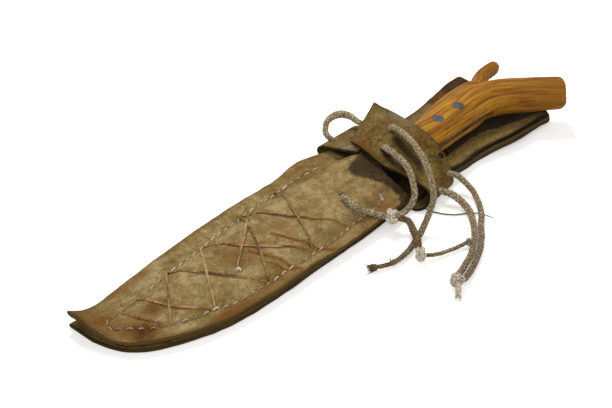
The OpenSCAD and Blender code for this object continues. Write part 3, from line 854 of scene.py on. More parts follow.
    def front_top(self, x: Array, y: Array) -> Array:
        """Returns the height of the front panel's outer face at any place on it."""
        from_edge = y - np.interp(x, *self.belly_line.T)
        from_spine = np.interp(x, *self.spine_line.T) - y
        return self.front_low(x, y, from_edge, from_spine) + self.leather_t + self.pebble(x, y, from_spine)

    def pebble(self, x: Array, y: Array, from_spine: Array) -> Array:
        """Returns the small unevenness of the front's outer face, with the furrow that the seam draws in it."""
        uneven = 0.42 * layered_noise(x, y, 15.0, 31) + 0.14 * layered_noise(x, y, 5.0, 77, 2)
        furrow = 0.5 * np.exp(-(((from_spine - self.spine_seam - 1.5) / 1.6) ** 2)) * smooth((x + 118) / 10)
        return uneven - furrow


class Rim(Enum):
    """How a sheet's edge runs, cut by a knife or worn: how much of its half thickness is rounded off."""

    CUT = 0.35
    WORN = 0.6


def leather_sheet(name: str, low: Array, top: Array, marks: Array, rim: Rim) -> Piece:
    """Makes a sheet of leather with rounded edges between two grids of points.

    Args:
        name: Name of the piece.
        low: Grid of points of its underside.
        top: Grid of points of its upper side.
        marks: Four numbers for each place of the grid.
        rim: How full the rim is.

    Returns:
        The closed sheet.
    """
    nu, nv = low.shape[:2]
    walk = [(i, 0) for i in range(nu)] + [(nu - 1, j) for j in range(1, nv)]
    walk += [(i, nv - 1) for i in range(nu - 2, -1, -1)] + [(0, j) for j in range(nv - 2, 0, -1)]
    around = at_i, at_j = tuple(np.array(walk).T)
    centre = 0.5 * (low + top)
    middle = centre[around]
    up = (top - low)[around]
    out = unit(np.cross(np.roll(middle, -1, axis=0) - np.roll(middle, 1, axis=0), up))
    inner = centre[np.clip(at_i, 2, nu - 3), np.clip(at_j, 2, nv - 3)]
    if float(np.sum((middle - inner) * out)) < 0:
        out = -out
    out = 0.25 * np.roll(out, 1, axis=0) + 0.5 * out + 0.25 * np.roll(out, -1, axis=0)
    inset = out * rim.value * float(np.median(np.linalg.norm(up, axis=1))) * 0.5
    low, top = low.copy(), top.copy()
    low[around] -= inset
    top[around] -= inset
    steps = 4
    rings = []
    for turn in np.arange(1, steps) * math.pi / steps:
        share = 0.5 - 0.5 * math.cos(turn)
        rings.append(low[around] * (1 - share) + top[around] * share + inset * math.sin(turn))
    rim_marks = marks[around].copy()
    rim_marks[:, 3] = 1.0
    m, n = nu * nv, len(walk)
    grid = np.arange(m).reshape(nu, nv)
    quads = np.stack([grid[:-1, :-1], grid[1:, :-1], grid[1:, 1:], grid[:-1, 1:]], axis=-1).reshape(-1, 4)
    faces = [*quads[:, ::-1], *(quads + m)]
    ids = [grid[around], *(2 * m + k * n + np.arange(n) for k in range(steps - 1)), m + grid[around]]
    for a, b in zip(ids[:-1], ids[1:]):
        faces += [*np.stack([a, np.roll(a, -1), np.roll(b, -1), b], axis=-1)]
    sheet = Surface()
    points = [p.reshape(-1, 3) for p in (low, top, *rings)]
    sheet.add(np.concatenate(points), faces, np.concatenate([*[marks.reshape(-1, 4)] * 2, *[rim_marks] * (steps - 1)]))
    obj = sheet.build(name)
    mesh = bmesh.new()
    mesh.from_mesh(obj.data)
    bmesh.ops.recalc_face_normals(mesh, faces=mesh.faces)
    mesh.to_mesh(obj.data)
    mesh.free()
    return obj


def hand_over(obj: Piece, body: Body, material: Material, slot: str, *nodes: str) -> Piece:
    """Gives a piece its finish, its body and the CAD nodes that it stands for.

    Args:
        obj: The piece.
        body: The body that it rides on.
        material: Its finish.
        slot: The record's material slot; not used.
        nodes: CAD nodes that it replaces.

    Returns:
        The piece.
    """
    obj.data.materials.clear()
    obj.data.materials.append(material)
    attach(obj, body.value)
    if nodes:
        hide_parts(*nodes)
    LOG.info("%s: %d points", obj.name, len(obj.data.vertices))
    return obj


@dataclass
class Studio:
    """A pale floor, soft lamps and the camera at the photograph's view. Places are in metres."""

    eye: Point = (-0.5464, -0.5647, 0.6172)
    look: Point = (0.5917, 0.5517, -0.5878)
    lit: Point = (0.06, 0.0, 0.0)
    lens_mm: float = 81.27
    sensor_mm: float = 36.0
    floor_mm: float = 6000.0
    floor_z_mm: float = -0.4

    def aim(self, obj: Piece, place: Point, way: Point) -> None:
        """Sets up a camera or a lamp.

        Args:
            obj: The camera or lamp.
            place: Where it goes.
            way: The direction that it is turned along.
        """
        obj.location = place
        obj.rotation_mode = "QUATERNION"
        obj.rotation_quaternion = Vector(way).to_track_quat("-Z", "Y")

    def camera(self) -> None:
        """Makes the camera."""
        data = bpy.data.cameras.new("view")
        data.lens, data.sensor_width = self.lens_mm, self.sensor_mm
        data.clip_start, data.clip_end = 0.05, 20.0
        cam = linked("view", data)
        self.aim(cam, self.eye, self.look)
        bpy.context.scene.camera = cam

    def lamp(self, name: str, place: Point, power: float, size: float, tint: str) -> None:
        """Adds a soft square lamp that points at the object.

        Args:
            name: Its name.
            place: Where it hangs.
            power: Its power in watts.
            size: The length of its side.
            tint: Its colour.
        """
        data = bpy.data.lights.new(name, "AREA")
        data.energy, data.size, data.color = power, size, linear(tint)[:3]
        self.aim(linked(name, data), place, Vector(self.lit) - Vector(place))

    def seen(self, nodes: Nodes) -> Socket:
        """Returns 1 for the rays of the camera and for those that a surface reflects or lets through, else 0."""
        camera = nodes.add("ShaderNodeLightPath", out="Is Camera Ray")
        path = camera.node.outputs
        other = nodes.add(Kind.MATH, (path["Is Glossy Ray"], path["Is Transmission Ray"]), operation="MAXIMUM")
        return nodes.add(Kind.MATH, (camera, other), operation="MAXIMUM")

    def white_world(self) -> None:
        """Gives the object a soft even light, and the camera and reflections a white room."""
        world = bpy.data.worlds.new("room")
        bpy.context.scene.world = world
        world.use_nodes = True
        nodes = Nodes(world.node_tree)
        soft, white = (nodes.add("ShaderNodeBackground", ("#ffffff", strength)) for strength in (0.36, 1.0))
        mixed = nodes.add("ShaderNodeMixShader", (self.seen(nodes), soft, white))
        nodes.add("ShaderNodeOutputWorld", (mixed,))

    def floor(self) -> None:
        """Lays the pale floor just under the sheath. It looks white, and keeps the soft shadow."""
        plane = Surface()
        h = self.floor_mm / 2
        plane.add([[x, y, self.floor_z_mm] for x, y in ((-h, -h), (h, -h), (h, h), (-h, h))], [[0, 1, 2, 3]])
        obj = plane.build("floor")
        material, nodes = new_material("pale_floor")
        matt = nodes.add("ShaderNodeBsdfDiffuse", ("#f2f1ee",))
        glow = nodes.add("ShaderNodeEmission", ("#ffffff", 0.4))
        both = nodes.add("ShaderNodeAddShader", (matt, glow))
        mixed = nodes.add("ShaderNodeMixShader", (self.seen(nodes), matt, both))
        nodes.add(Kind.OUTPUT, (mixed,))
        obj.data.materials.append(material)

    def build(self) -> None:
        """Builds the whole studio."""
        self.camera()
        self.white_world()
        self.floor()
        self.lamp("key", (0.55, 0.75, 1.25), 11.8, 0.3, "#fffaf2")
        self.lamp("fill", (-1.1, -0.7, 1.2), 11.4, 1.3, "#fffdf8")
        self.lamp("side", (0.8, -0.9, 0.9), 3.4, 0.8, "#fffdf8")
        bpy.context.scene.view_settings.view_transform = "Standard"
        LOG.info("studio built")


class CordEnd(Enum):
    BARE = "bare"
    KNOT = "knot"
    LEATHER = "object"


# The cords' routes, x, y and z in millimetres, which are those of the CAD solids.
ROUTES = {
    "lace_cord": [
        (144, -4.5, 25.5), (140, -7, 29.5), (136.5, -11, 33), (133.5, -16.5, 34.5), (131.5, -22, 36.5),
        (128.5, -28, 37.5), (126.5, -34, 38), (124, -40, 38), (121, -46, 37.5), (117.5, -51.5, 36), (114.5, -56, 33),
        (112.5, -59.5, 28), (110, -61, 22.5), (106.5, -60, 17), (101.5, -58, 13.5), (96, -55, 12), (92, -50.5, 12),
        (88.5, -44.5, 12.5), (85.5, -39.5, 14), (81, -35, 16.5), (77.5, -30.5, 19.5), (77, -25, 21.5), (80, -19, 20.5),
        (83, -15.5, 16.5)],
    "tie_cord": [
        (144, -4.5, 25.5), (150, -1.5, 25.5), (155.5, 1.5, 28), (158, 2.5, 34), (155.5, -1.5, 38.4), (153, -7.5, 40.5),
        (150, -13, 43), (147.5, -19.5, 44), (144.5, -25.5, 45), (142, -32, 45), (139, -38, 45), (136, -44, 44),
        (133, -50, 43), (129.5, -56, 41), (126.5, -61, 38.5), (123.5, -66, 35), (120.5, -70.5, 30.5), (118, -73, 24.5),
        (115, -73.5, 18.5), (112, -73.5, 12.5), (107.5, -74, 7.5), (101.5, -75.5, 4), (95, -77, 2.6), (88.5, -79, 2.6),
        (82, -81, 2.6), (75.5, -82, 2.6), (68.5, -82.5, 2.6), (62, -82, 2.6), (55.5, -79.5, 2.6), (49.5, -76, 2.6)],
    "loop_cord": [
        (154, 14, 23.5), (156.5, 18.5, 23.5), (158.5, 23.5, 23.5), (160.5, 28, 23), (161.5, 33, 23), (162, 38.5, 22.5),
        (163, 43.5, 22.5), (164, 48.5, 22.5), (164, 53.5, 22), (163, 58.5, 21), (159.5, 61.5, 20), (154.5, 63, 18.5),
        (149.5, 62, 17), (145.5, 59, 16), (141.5, 55.5, 15.5), (139, 51, 15), (138.5, 46.5, 14), (142, 43.5, 12)],
    "strap_cord_upper": [
        (162.5, -46.5, 14), (165.5, -51.5, 13.5), (169, -56, 12), (169.5, -61.5, 10), (169.5, -67, 7.5),
        (168.5, -72.5, 5.5), (165.5, -77.5, 4.5), (162, -82.5, 4), (158, -87, 4), (154, -91, 4), (149.5, -95, 3.5),
        (144.5, -98.5, 2.6), (139.5, -102, 2.6), (135, -106, 2.6), (130, -110, 2.6), (125, -113, 2.6),
        (120, -116.5, 2.6), (114.5, -119.5, 2.6), (109, -122, 2.6), (103.5, -124.5, 2.6), (98, -126.5, 2.6),
        (92.5, -128.5, 2.6), (86.5, -130.5, 3.5), (81, -131.5, 4)],
    "strap_cord_lower": [
        (147.5, -51.5, 9.5), (148, -57, 9), (150.5, -62, 8.5), (152, -67, 7), (152.5, -72, 5.5), (151.5, -77, 4.5),
        (149.5, -82, 4), (146.6, -86.8, 4), (142.8, -91.5, 3.5), (138.9, -95.8, 2.6), (134.9, -99.3, 2.6),
        (130.9, -102.8, 2.6), (126.4, -106.3, 2.6), (121.9, -109.3, 2.6), (116.9, -112.3, 2.6), (112.4, -114.8, 2.6),
        (107.4, -117.3, 2.6), (101.9, -119.3, 2.6), (96.9, -120.8, 2.6), (91.4, -122.8, 2.6), (86.4, -124.3, 3.5),
        (81.4, -126.3, 4)],
    "tail_cord": [
        (97, -55.5, 11), (98.5, -58, 10.5), (100, -60, 10), (101, -62, 9.5), (101, -64.5, 9.5), (99.5, -67, 9.5),
        (98, -69.5, 9.3), (96, -72, 9.5), (94, -75, 9.5), (92, -78, 9.4), (90.5, -80.5, 8.8), (89, -82.5, 8),
        (87, -84.5, 7.5), (85.5, -86.5, 6.5), (83.5, -89, 6)],
    "bridge_cord": [
        (84.5, -95.5, 4), (86.5, -96.5, 3.5), (88.5, -97.5, 3), (90.5, -98.5, 3), (93, -99.5, 2.5), (95, -100.5, 2.5),
        (97, -101, 2.5), (99.5, -102, 2.5), (101.5, -102.5, 2.5), (104, -103.5, 2.5), (106, -104, 2.5),
        (108.5, -104.5, 2.5), (111, -105, 2.5), (113, -105.5, 2.5), (115, -106, 3), (117, -107.5, 3)],
    "loose_sinew": [
        (130.5, -57, 1.5), (131, -60, 1), (132.5, -63.5, 0.6), (134, -67, 0.6), (135.5, -70.5, 0.6), (137.5, -73, 0.6),
        (139.5, -76, 0.6), (142, -78.5, 0.6), (145, -80.5, 0.6), (147.5, -82.5, 0.6), (150.5, -85, 0.6),
        (153, -87.5, 0.6), (155, -90, 0.6), (156, -93.5, 0.6), (156.5, -97, 0.6), (157, -100.5, 0.6)],
}


@dataclass
class Cord:
    """One braided cord: its diameter, its end and its looks. Its name picks its route.

    The radius that its strands wind on, the width of all its strands side by side, their pitch and
    the core are shares of the diameter or of that radius.
    """

    name: str
    d: float
    end: CordEnd
    dirt: tuple[float, float] = (0.0, 0.0)
    dirt_from: float = 0.0
    taper: float = 0.0
    swell: Point = (0.0, 0.5, 0.1)
    carriers: int = 8
    slot: str = "cotton_cord"
    stiffness: str = "limp"
    step: float = 0.6
    wound_r: float = 0.365
    strands_w: float = 4.15
    pitch: float = 3.0
    core: float = 0.92

    def line(self) -> Array:
        """Returns the points down its middle, evenly spaced."""
        route = ROUTES[self.name]
        return resampled(spline(route, np.linspace(0, 1, 12 * len(route))), self.step)

    def braid(self, surface: Surface, line: Array, taper: float = 0.0) -> None:
        """Adds its strands, half of them wound one way and half the other, each over one and under one.

        Args:
            surface: The mesh that they go into.
            line: The points down its middle.
            taper: How much thinner it gets towards its end.
        """
        _, first, second = frames_along(line)
        s = distances(line)
        share = s / s[-1]
        amount, middle, reach = self.swell
        thin = 1.0 - taper * smooth((share - 0.75) / 0.25) + amount * np.exp(-(((share - middle) / reach) ** 2))
        half = self.carriers // 2
        mean = self.wound_r * self.d * thin
        width = self.strands_w * mean / self.carriers
        rise = (self.d / 2 * thin - mean - 0.5 * width) * 0.98
        phase = 2 * math.pi * s / (self.pitch * self.d)
        dirt = self.dirt[0] + (self.dirt[1] - self.dirt[0]) * smooth((share - self.dirt_from) / (1 - self.dirt_from))
        for way in (1, -1):
            wave = way * np.cos(half * phase)
            for k in range(half):
                turn = (way * phase + 2 * math.pi * k / half)[:, None]
                radial = np.cos(turn) * first + np.sin(turn) * second
                path = line + radial * (mean + rise * wave)[:, None]
                tangent = unit(np.gradient(path, axis=0))
                across = unit(np.cross(tangent, radial))
                uneven = 1 + 0.07 * np.sin(1.7 * s + 2.1 * k) + 0.05 * np.sin(0.6 * s + k + way)
                # Painted shade: each strand is darker where it dips under the others.
                surface.tube(path, width * uneven, marked(dirt, 0.45 - 0.75 * wave), flat=0.5,
                             sides_at=(np.cross(across, tangent), across))
        # The core is painted dark as shade deep between the strands.
        surface.tube(line, mean * self.core, marked(dirt, 0.9), sides=8)

    def build(self, finish: Material, *pieces: Piece) -> None:
        """Args:
            finish: Its material.
            pieces: Separate pieces that are on it; not used.
        """
        line = self.line()
        surface = Surface()
        if self.d < 2:
            surface.tube(line, self.d / 2 * (1.0 - 0.45 * smooth(np.linspace(-1, 1, len(line)))), sides=7)
        else:
            self.braid(surface, line, self.taper)
        obj = hand_over(surface.build(self.name), Body.SHEATH, finish, self.slot, self.name)


@dataclass
class Knot:
    """An overhand knot drawn tight: three crossing turns of cord, in millimetres and degrees."""

    name: str
    at: Point
    turn: Point
    d: float
    cord_d: float
    dirt: float = 0.0
    stub: tuple[Point, ...] = ()

    def path(self) -> Array:
        """Returns the line of its turns, in the knot's own place."""
        t = np.linspace(0, 2 * math.pi, 90)
        out = 2 + np.cos(3 * t)
        p = np.stack([out * np.cos(2 * t), out * np.sin(2 * t), 1.25 * np.sin(3 * t)], axis=1)
        return p * ((self.d / 2 - 0.42 * self.cord_d) / 3.0) @ turned(self.turn).T + self.at

    def build(self, finish: Material) -> Piece:
        """Builds the knot, with its short frayed end if it has one.

        Args:
            finish: Its material.

        Returns:
            The knot's object.
        """
        surface = Surface()
        yarn = Cord(self.name, self.cord_d, CordEnd.KNOT, (self.dirt, self.dirt))
        yarn.braid(surface, resampled(self.path(), yarn.step))
        if self.stub:
            line = resampled(spline(self.stub, np.linspace(0, 1, 30)), yarn.step)
            yarn.braid(surface, line, 0.25)
            fray(surface, line[-1], line[-1] - line[-4], self.cord_d, 6.5, 26, 11, self.dirt)
        return hand_over(surface.build(self.name), Body.SHEATH, finish, "cotton_cord", self.name)


def fray(surface: Surface, at: Array, way: Array, d: float, length: float, count: int, seed: int, dirt: float) -> None:
    """Adds loose yarn ends that spread from a cut cord.

    Args:
        surface: The mesh that they go into.
        at: Where the cord ends.
        way: The direction that it ends in.
        d: The cord's diameter.
        length: The length of the longest yarn.
        count: How many there are.
        seed: Number that picks their shapes.
        dirt: How dirty they are.
    """
    rng = np.random.default_rng(seed)
    way = unit(way)
    t = np.linspace(0, 1, 7)[:, None]
    for _ in range(count):
        sideways = rng.normal(0, 1, 3)
        sideways = unit(sideways - way * float(sideways @ way))
        reach = length * rng.uniform(0.45, 1.0)
        start = at - way * 1.2 + sideways * d * 0.42 * math.sqrt(rng.random())
        bend = rng.normal(0, 0.12, 3) * reach
        path = start + way * reach * t + sideways * reach * 0.34 * t**1.5 * rng.uniform(0.2, 1.0) + bend * t**2
        path[:, 2] = np.maximum(path[:, 2], 0.5)
        marks = np.tile(marked(dirt + rng.uniform(-0.25, 0.2), 0.1), (len(t), 1))
        surface.tube(path, np.linspace(0.11 * d, 0.035 * d, len(t)), marks, sides=5)


@dataclass
class Cordage:
    """All the cords and knots of the collar."""

    d: float = 5.0
    thin: float = 3.2
    sinew: float = 1.1
    stub: tuple[Point, ...] = ((73, -132, 5.5), (70, -135, 4), (66, -138, 2.6))

    def build(self) -> None:
        """Builds the knots, then the cords between them."""
        plain, pale, stained = PLAIN_COTTON.build(), KNOT_COTTON.build(), STAINED_COTTON.build()
        d, thin = self.d, self.thin
        Knot("lace_knot", (95, -53.5, 12), (60, 20, 0), 2.46 * d, 0.92 * d).build(pale)
        tail_knot = Knot("tail_knot", (80.5, -92.5, 5.9), (78, 0, 30), 2.24 * d, 0.82 * d, 0.15).build(pale)
        end_knot = Knot("end_knot", (75, -130, 6), (75, 0, -40), 2.3 * d, 0.87 * d, 0.25, self.stub).build(pale)
        hitch_knot = Knot("hitch_knot", (117.5, -108, 4), (80, 0, 60), 2.1 * thin, 0.78 * thin, 0.1).build(plain)
        tie = Cord("tie_cord", d, CordEnd.BARE, (0.0, 0.8), 0.5, 0.3)
        line, ends = tie.line(), Surface()
        fray(ends, line[-1], line[-1] - line[-8], d, 7.0, 70, 5, 0.65)
        fray(ends, line[-26], line[-26] - line[-20] + [-1.5, 3.5, 2.0], d, 4.4, 16, 6, 0.5)
        tie.build(plain, hand_over(ends.build("tie_fray"), Body.SHEATH, stained, "stained_cord"))
        Cord("lace_cord", d, CordEnd.LEATHER).build(plain)
        Cord("loop_cord", d, CordEnd.LEATHER, swell=(0.34, 0.53, 0.13)).build(plain)
        Cord("strap_cord_upper", d, CordEnd.KNOT, (0.0, 0.75)).build(plain, end_knot)
        Cord("strap_cord_lower", d, CordEnd.KNOT, (0.0, 0.5), swell=(0.2, 0.22, 0.2)).build(plain, hitch_knot)
        Cord("tail_cord", d, CordEnd.KNOT, (0.4, 0.55), swell=(0.28, 0.72, 0.3), slot="stained_cord").build(
            stained, tail_knot)
        Cord("bridge_cord", thin, CordEnd.KNOT, (0.3, 0.2), carriers=6).build(plain)
        Cord("loose_sinew", self.sinew, CordEnd.BARE, slot="sinew", stiffness="medium").build(DARK_SINEW.build())
        LOG.info("cordage built")


@dataclass
class SheathLeather:
    """The sewn leather of the sheath: back panel, welt, front panel and the liner behind the handle.

    The leather grips the lace, so its hole is open by a share of what was punched.
    """

    form: Form
    step: float = 1.35
    front_hole: Point = (83.0, -15.5, 16.0)
    grip: float = 0.86
    rows_l: float = 460.0

    def outline(self, rows: list, start: float, seed: int, wander: float, end: float = 1.0) -> Array:
        """Cuts the two long edges of a layer, each a little uneven.

        Args:
            rows: The rows of the outline.
            start: Where along them the layer starts, from 0 to 1.
            seed: Number that picks the unevenness.
            wander: How uneven the cut is.
            end: Where along the rows the layer ends.

        Returns:
            Rows of belly x, belly y, spine x and spine y.
        """
        r = spline(rows, np.linspace(start, end, int(abs(end - start) * self.rows_l / self.step)))
        for k, sign in ((1, -1), (3, 1)):
            along = r[:, k - 1]
            uneven = sum(share * lattice_noise(along, 0 * along, cell, seed + k + more)
                         for share, cell, more in ((0.9, 23.0, 0), (0.35, 7.0, 5)))
            r[:, k] += sign * wander * uneven
        if rows is self.form.front_rows:
            r[:, 1] -= self.overhang(r[:, 0])
        else:
            for k, turn in ((1, 8.0), (3, -3.5)):
                r[:, k] += turn * (1 - np.sqrt(1 - clamp(1 - (r[-1, k - 1] - r[:, k - 1]) / abs(turn)) ** 2))
        return r

    def overhang(self, x: Array) -> Array:
        """Returns how far the front's belly edge has spread past the welt."""
        return 2.0 * smooth((x - 15) / 30) * smooth((114 - x) / 14)

    def grid(self, rows: Array, v: Array, bend: float = 1.0) -> tuple[Array, ...]:
        """Lays a grid of places between the two edges.

        Args:
            rows: Rows of the outline.
            v: Places across, from 0 at the belly edge to 1 at the spine edge.
            bend: Below 1 the belly end comes round.

        Returns:
            x, y, the distance from the belly edge and the distance from the spine edge.
        """
        belly_x, belly_y, spine_x, spine_y = rows.T[..., None]
        x, y = belly_x + (spine_x - belly_x) * v**bend, belly_y + (spine_y - belly_y) * v
        return x, y, y - belly_y, spine_y - y

    def worn_edge(self, x: Array, y: Array, from_edge: Array, from_spine: Array) -> Array:
        """Returns how dark handling has made each place, strongest at the edges."""
        close = np.minimum(np.minimum(from_edge, from_spine), (x - self.form.tip_x) * 0.9)
        reach = 5.0 + 3.5 * layered_noise(x, y, 21.0, 91)
        return clamp(1.0 - close / np.maximum(reach, 1.5)) ** 1.3

    def sheet(self, name: str, finish: Leather, places: tuple[Array, Array], low: Array, top: Array, marks: Array,
              rim: Rim = Rim.WORN, hole: Point | None = None) -> None:
        """Builds a layer from its places and heights.

        Args:
            name: Name of the piece.
            finish: Its leather.
            places: x and y of its grid.
            low: Heights of its underside.
            top: Heights of its upper side.
            marks: Four numbers for each place of the grid.
            rim: How its edge runs.
            hole: The middle of an upright punched hole, if it has one.
        """
        obj = leather_sheet(name, np.stack([*places, low], -1), np.stack([*places, top], -1), marks, rim)
        if hole:
            cut_away(obj, [round_cutter(hole, (0, 0, 0), self.form.hole_d * self.grip, 24)])
        hand_over(obj, Body.SHEATH, finish.build(), name.split("_")[1] + "_leather", name)

    def front(self) -> None:
        """Builds the front panel, with the hole for the lace, all its stains, and its painted shade and shadow."""
        f = self.form
        rows = self.outline(f.front_rows, 0, 3, 0.7)
        x, y, e, s = self.grid(rows, np.linspace(0, 1, 82), 0.4)
        mouth = np.interp(y, [-48, -44, -40, -35, -30, -25, -18, -8], [4, 5, 5, 2.5, -3, -4.5, -3, 0])
        x += smooth((x - 84) / 28) * mouth
        low = f.front_low(x, y, e - self.overhang(rows[:, :1]), s)
        top = low + f.leather_t + f.pebble(x, y, s)
        rust = blots(x, y, (-115, -16, 5.5, 5, 1.5), (-113, -15, 10, 8, 0.6), (-20.7, -3, 15, 8, 0.42),
                     (24.6, -4.6, 10, 7, 0.4), (-95.7, -2.2, 8, 7, 0.7), (84.4, 21.4, 8, 5, 0.6), (103, -38, 9, 5, 0.3),
                     (-16.8, -17.2, 9, 6, 0.35), (-120, 18, 8, 5, 0.5), (52, -36, 12, 5, 0.4), (91, -44, 14, 5, 0.3),
                     (-93, 34, 13, 5, 0.6), (-72, 36, 10, 4, 0.4), (87, 43, 12, 4, 0.5))
        for strength, width, line in ((1.1, 1.5, ((15, -8), (22, -26), (28, -34), (38, -47))),
                                      (1.0, 1.4, ((-10, -10), (-2, -28), (6, -45))),
                                      (0.8, 1.2, ((-9, -27), (-3, -38), (3, -43)))):
            rust += strength * streak(x, y, line, width)
        rust += (0.15 + 0.8 * smooth((5 - x) / 75)) * smooth((-y - 34 + 3 * layered_noise(x, y, 18.0, 14)) / 8)
        rust += 0.42 * smooth((-98 - x + 0.35 * (-y - 10)) / 20) + 0.14 * layered_noise(x, y, 26.0, 12)
        # Painted shadow: from this line towards the mouth the front is painted dark, as the collar flap's cast shadow
        # and the shade of the mouth.
        shadow_from = np.interp(y, [-47, -43.5, -38.6, -33, -27, -20.4, -1, 4, 7.5, 9.5],
                              [113, 115.5, 120, 118, 114.5, 111, 106, 109, 118, 132])
        shade_and_stain = 0.97 * smooth((x - shadow_from + 1.5 + 1.6 * layered_noise(x, y, 6.0, 15)) / 4)
        # Painted shade in the seam's furrow; the darker very tip and the two dark spots are stains.
        shade_and_stain += 0.45 * streak(x, y, Stitches(f).seam_line()[::6], 1.4) + 0.35 * smooth((-128 - x) / 6)
        shade_and_stain += blots(x, y, (-115.5, -16, 6, 5, 0.8), (-97, -5, 6, 5, 0.4))
        edge = self.worn_edge(x, y, e, s) * (0.95 - 0.6 * smooth((x - 5) / 60) * smooth((-y - 20) / 10))
        self.sheet("sheath_front", FRONT_LEATHER, (x, y), low, top, marked(rust, edge, shade_and_stain), hole=self.front_hole)

    def back(self) -> None:
        """Builds the back panel, which runs on past the mouth behind the handle."""
        f = self.form
        x, y, e, s = self.grid(self.outline(f.back_rows, 0, 13, 0.7), np.linspace(0, 1, 80))
        low = f.back_low(x, y)
        uneven = 0.28 * layered_noise(x, y, 15.0, 41) + 0.1 * layered_noise(x, y, 5.0, 45, 2)
        top = low + f.leather_t + smooth((x - 176) / 12) * uneven
        rust = 0.95 * smooth((x - 243 + 8 * lattice_noise(x, y, 14.0, 8)) / 12) * smooth((y + 5) / 20)
        rust += 0.4 * smooth((x - 215) / 30) * smooth((-y - 20) / 12)
        shade_and_stain = 0.9 * smooth((x - 266 + 7 * lattice_noise(x, y, 12.0, 9)) / 16) * smooth((y - 2) / 20)
        # Painted shade beneath the handle.
        shade_and_stain += blots(x, y, (215, -25, 60, 12, 0.5))
        # Painted shade in the dark gap under the collar, given in the cut colour.
        gap_shade = smooth((x - 116) / 6) * smooth((168 - x) / 8) * smooth((8 - y) / 14)
        marks = marked(rust, self.worn_edge(x, y, e, s), shade_and_stain, gap_shade)
        self.sheet("sheath_back", BACK_LEATHER, (x, y), low, top, marks)

    def welt(self) -> None:
        """Builds the strip sewn between the layers along the belly edge."""
        f = self.form
        rows = self.outline(f.back_rows, 0.1754, 23, 0.55)
        x, y = np.broadcast_arrays(rows[:, :1], rows[:, 1:2] + f.welt_w * np.linspace(0, 1, 10))
        low = f.back_low(x, y) + f.leather_t + f.lay_gap
        # Painted shade where the welt lies in the dark gap under the collar.
        dark = smooth((x - 110) / 8) * smooth((172 - x) / 8)
        self.sheet("edge_welt", WELT_LEATHER, (x, y), low, low + f.leather_t, marked(0.15, 0.5, dark), Rim.CUT)

    def liner(self) -> None:
        """Builds the second layer behind the handle, with the handle's shadow painted dark on it and a painted lit band
        beyond.
        """
        f = self.form
        rows = self.outline(f.back_rows, 0.6316, 33, 0.6, 0.99)
        opened = smooth((rows[:, :1] - 190) / 26)
        rows[:, 1:2] += 2.2 * opened
        x, y, e, _ = self.grid(rows, np.linspace(0, 1, 50) * (0.21 + 0.32 * opened))
        low = f.seat(x, y, e)
        top = low + f.liner_t + 0.16 * layered_noise(x, y, 12.0, 51)
        # Painted light and shade: from the handle to this line its shadow is painted dark, and beyond it a lit band is
        # painted in the rust colour.
        shadow_edge = np.interp(x, [199, 226, 245, 257, 270, 288], [-27, -24.5, -26.5, -34, -41, -44])
        pale = smooth((shadow_edge - y) / 3.5) * smooth((298 - x) / 14)
        marks = marked(0.95 * pale * smooth((e - 1.5) / 2.5), 1.0 - e / 3.5, 0.9 * (1.0 - pale))
        self.sheet("back_liner", LINER_LEATHER, (x, y), low, top, marks, Rim.CUT)

    def build(self) -> None:
        """Builds the four layers."""
        for layer in (self.back, self.welt, self.liner, self.front):
            layer()


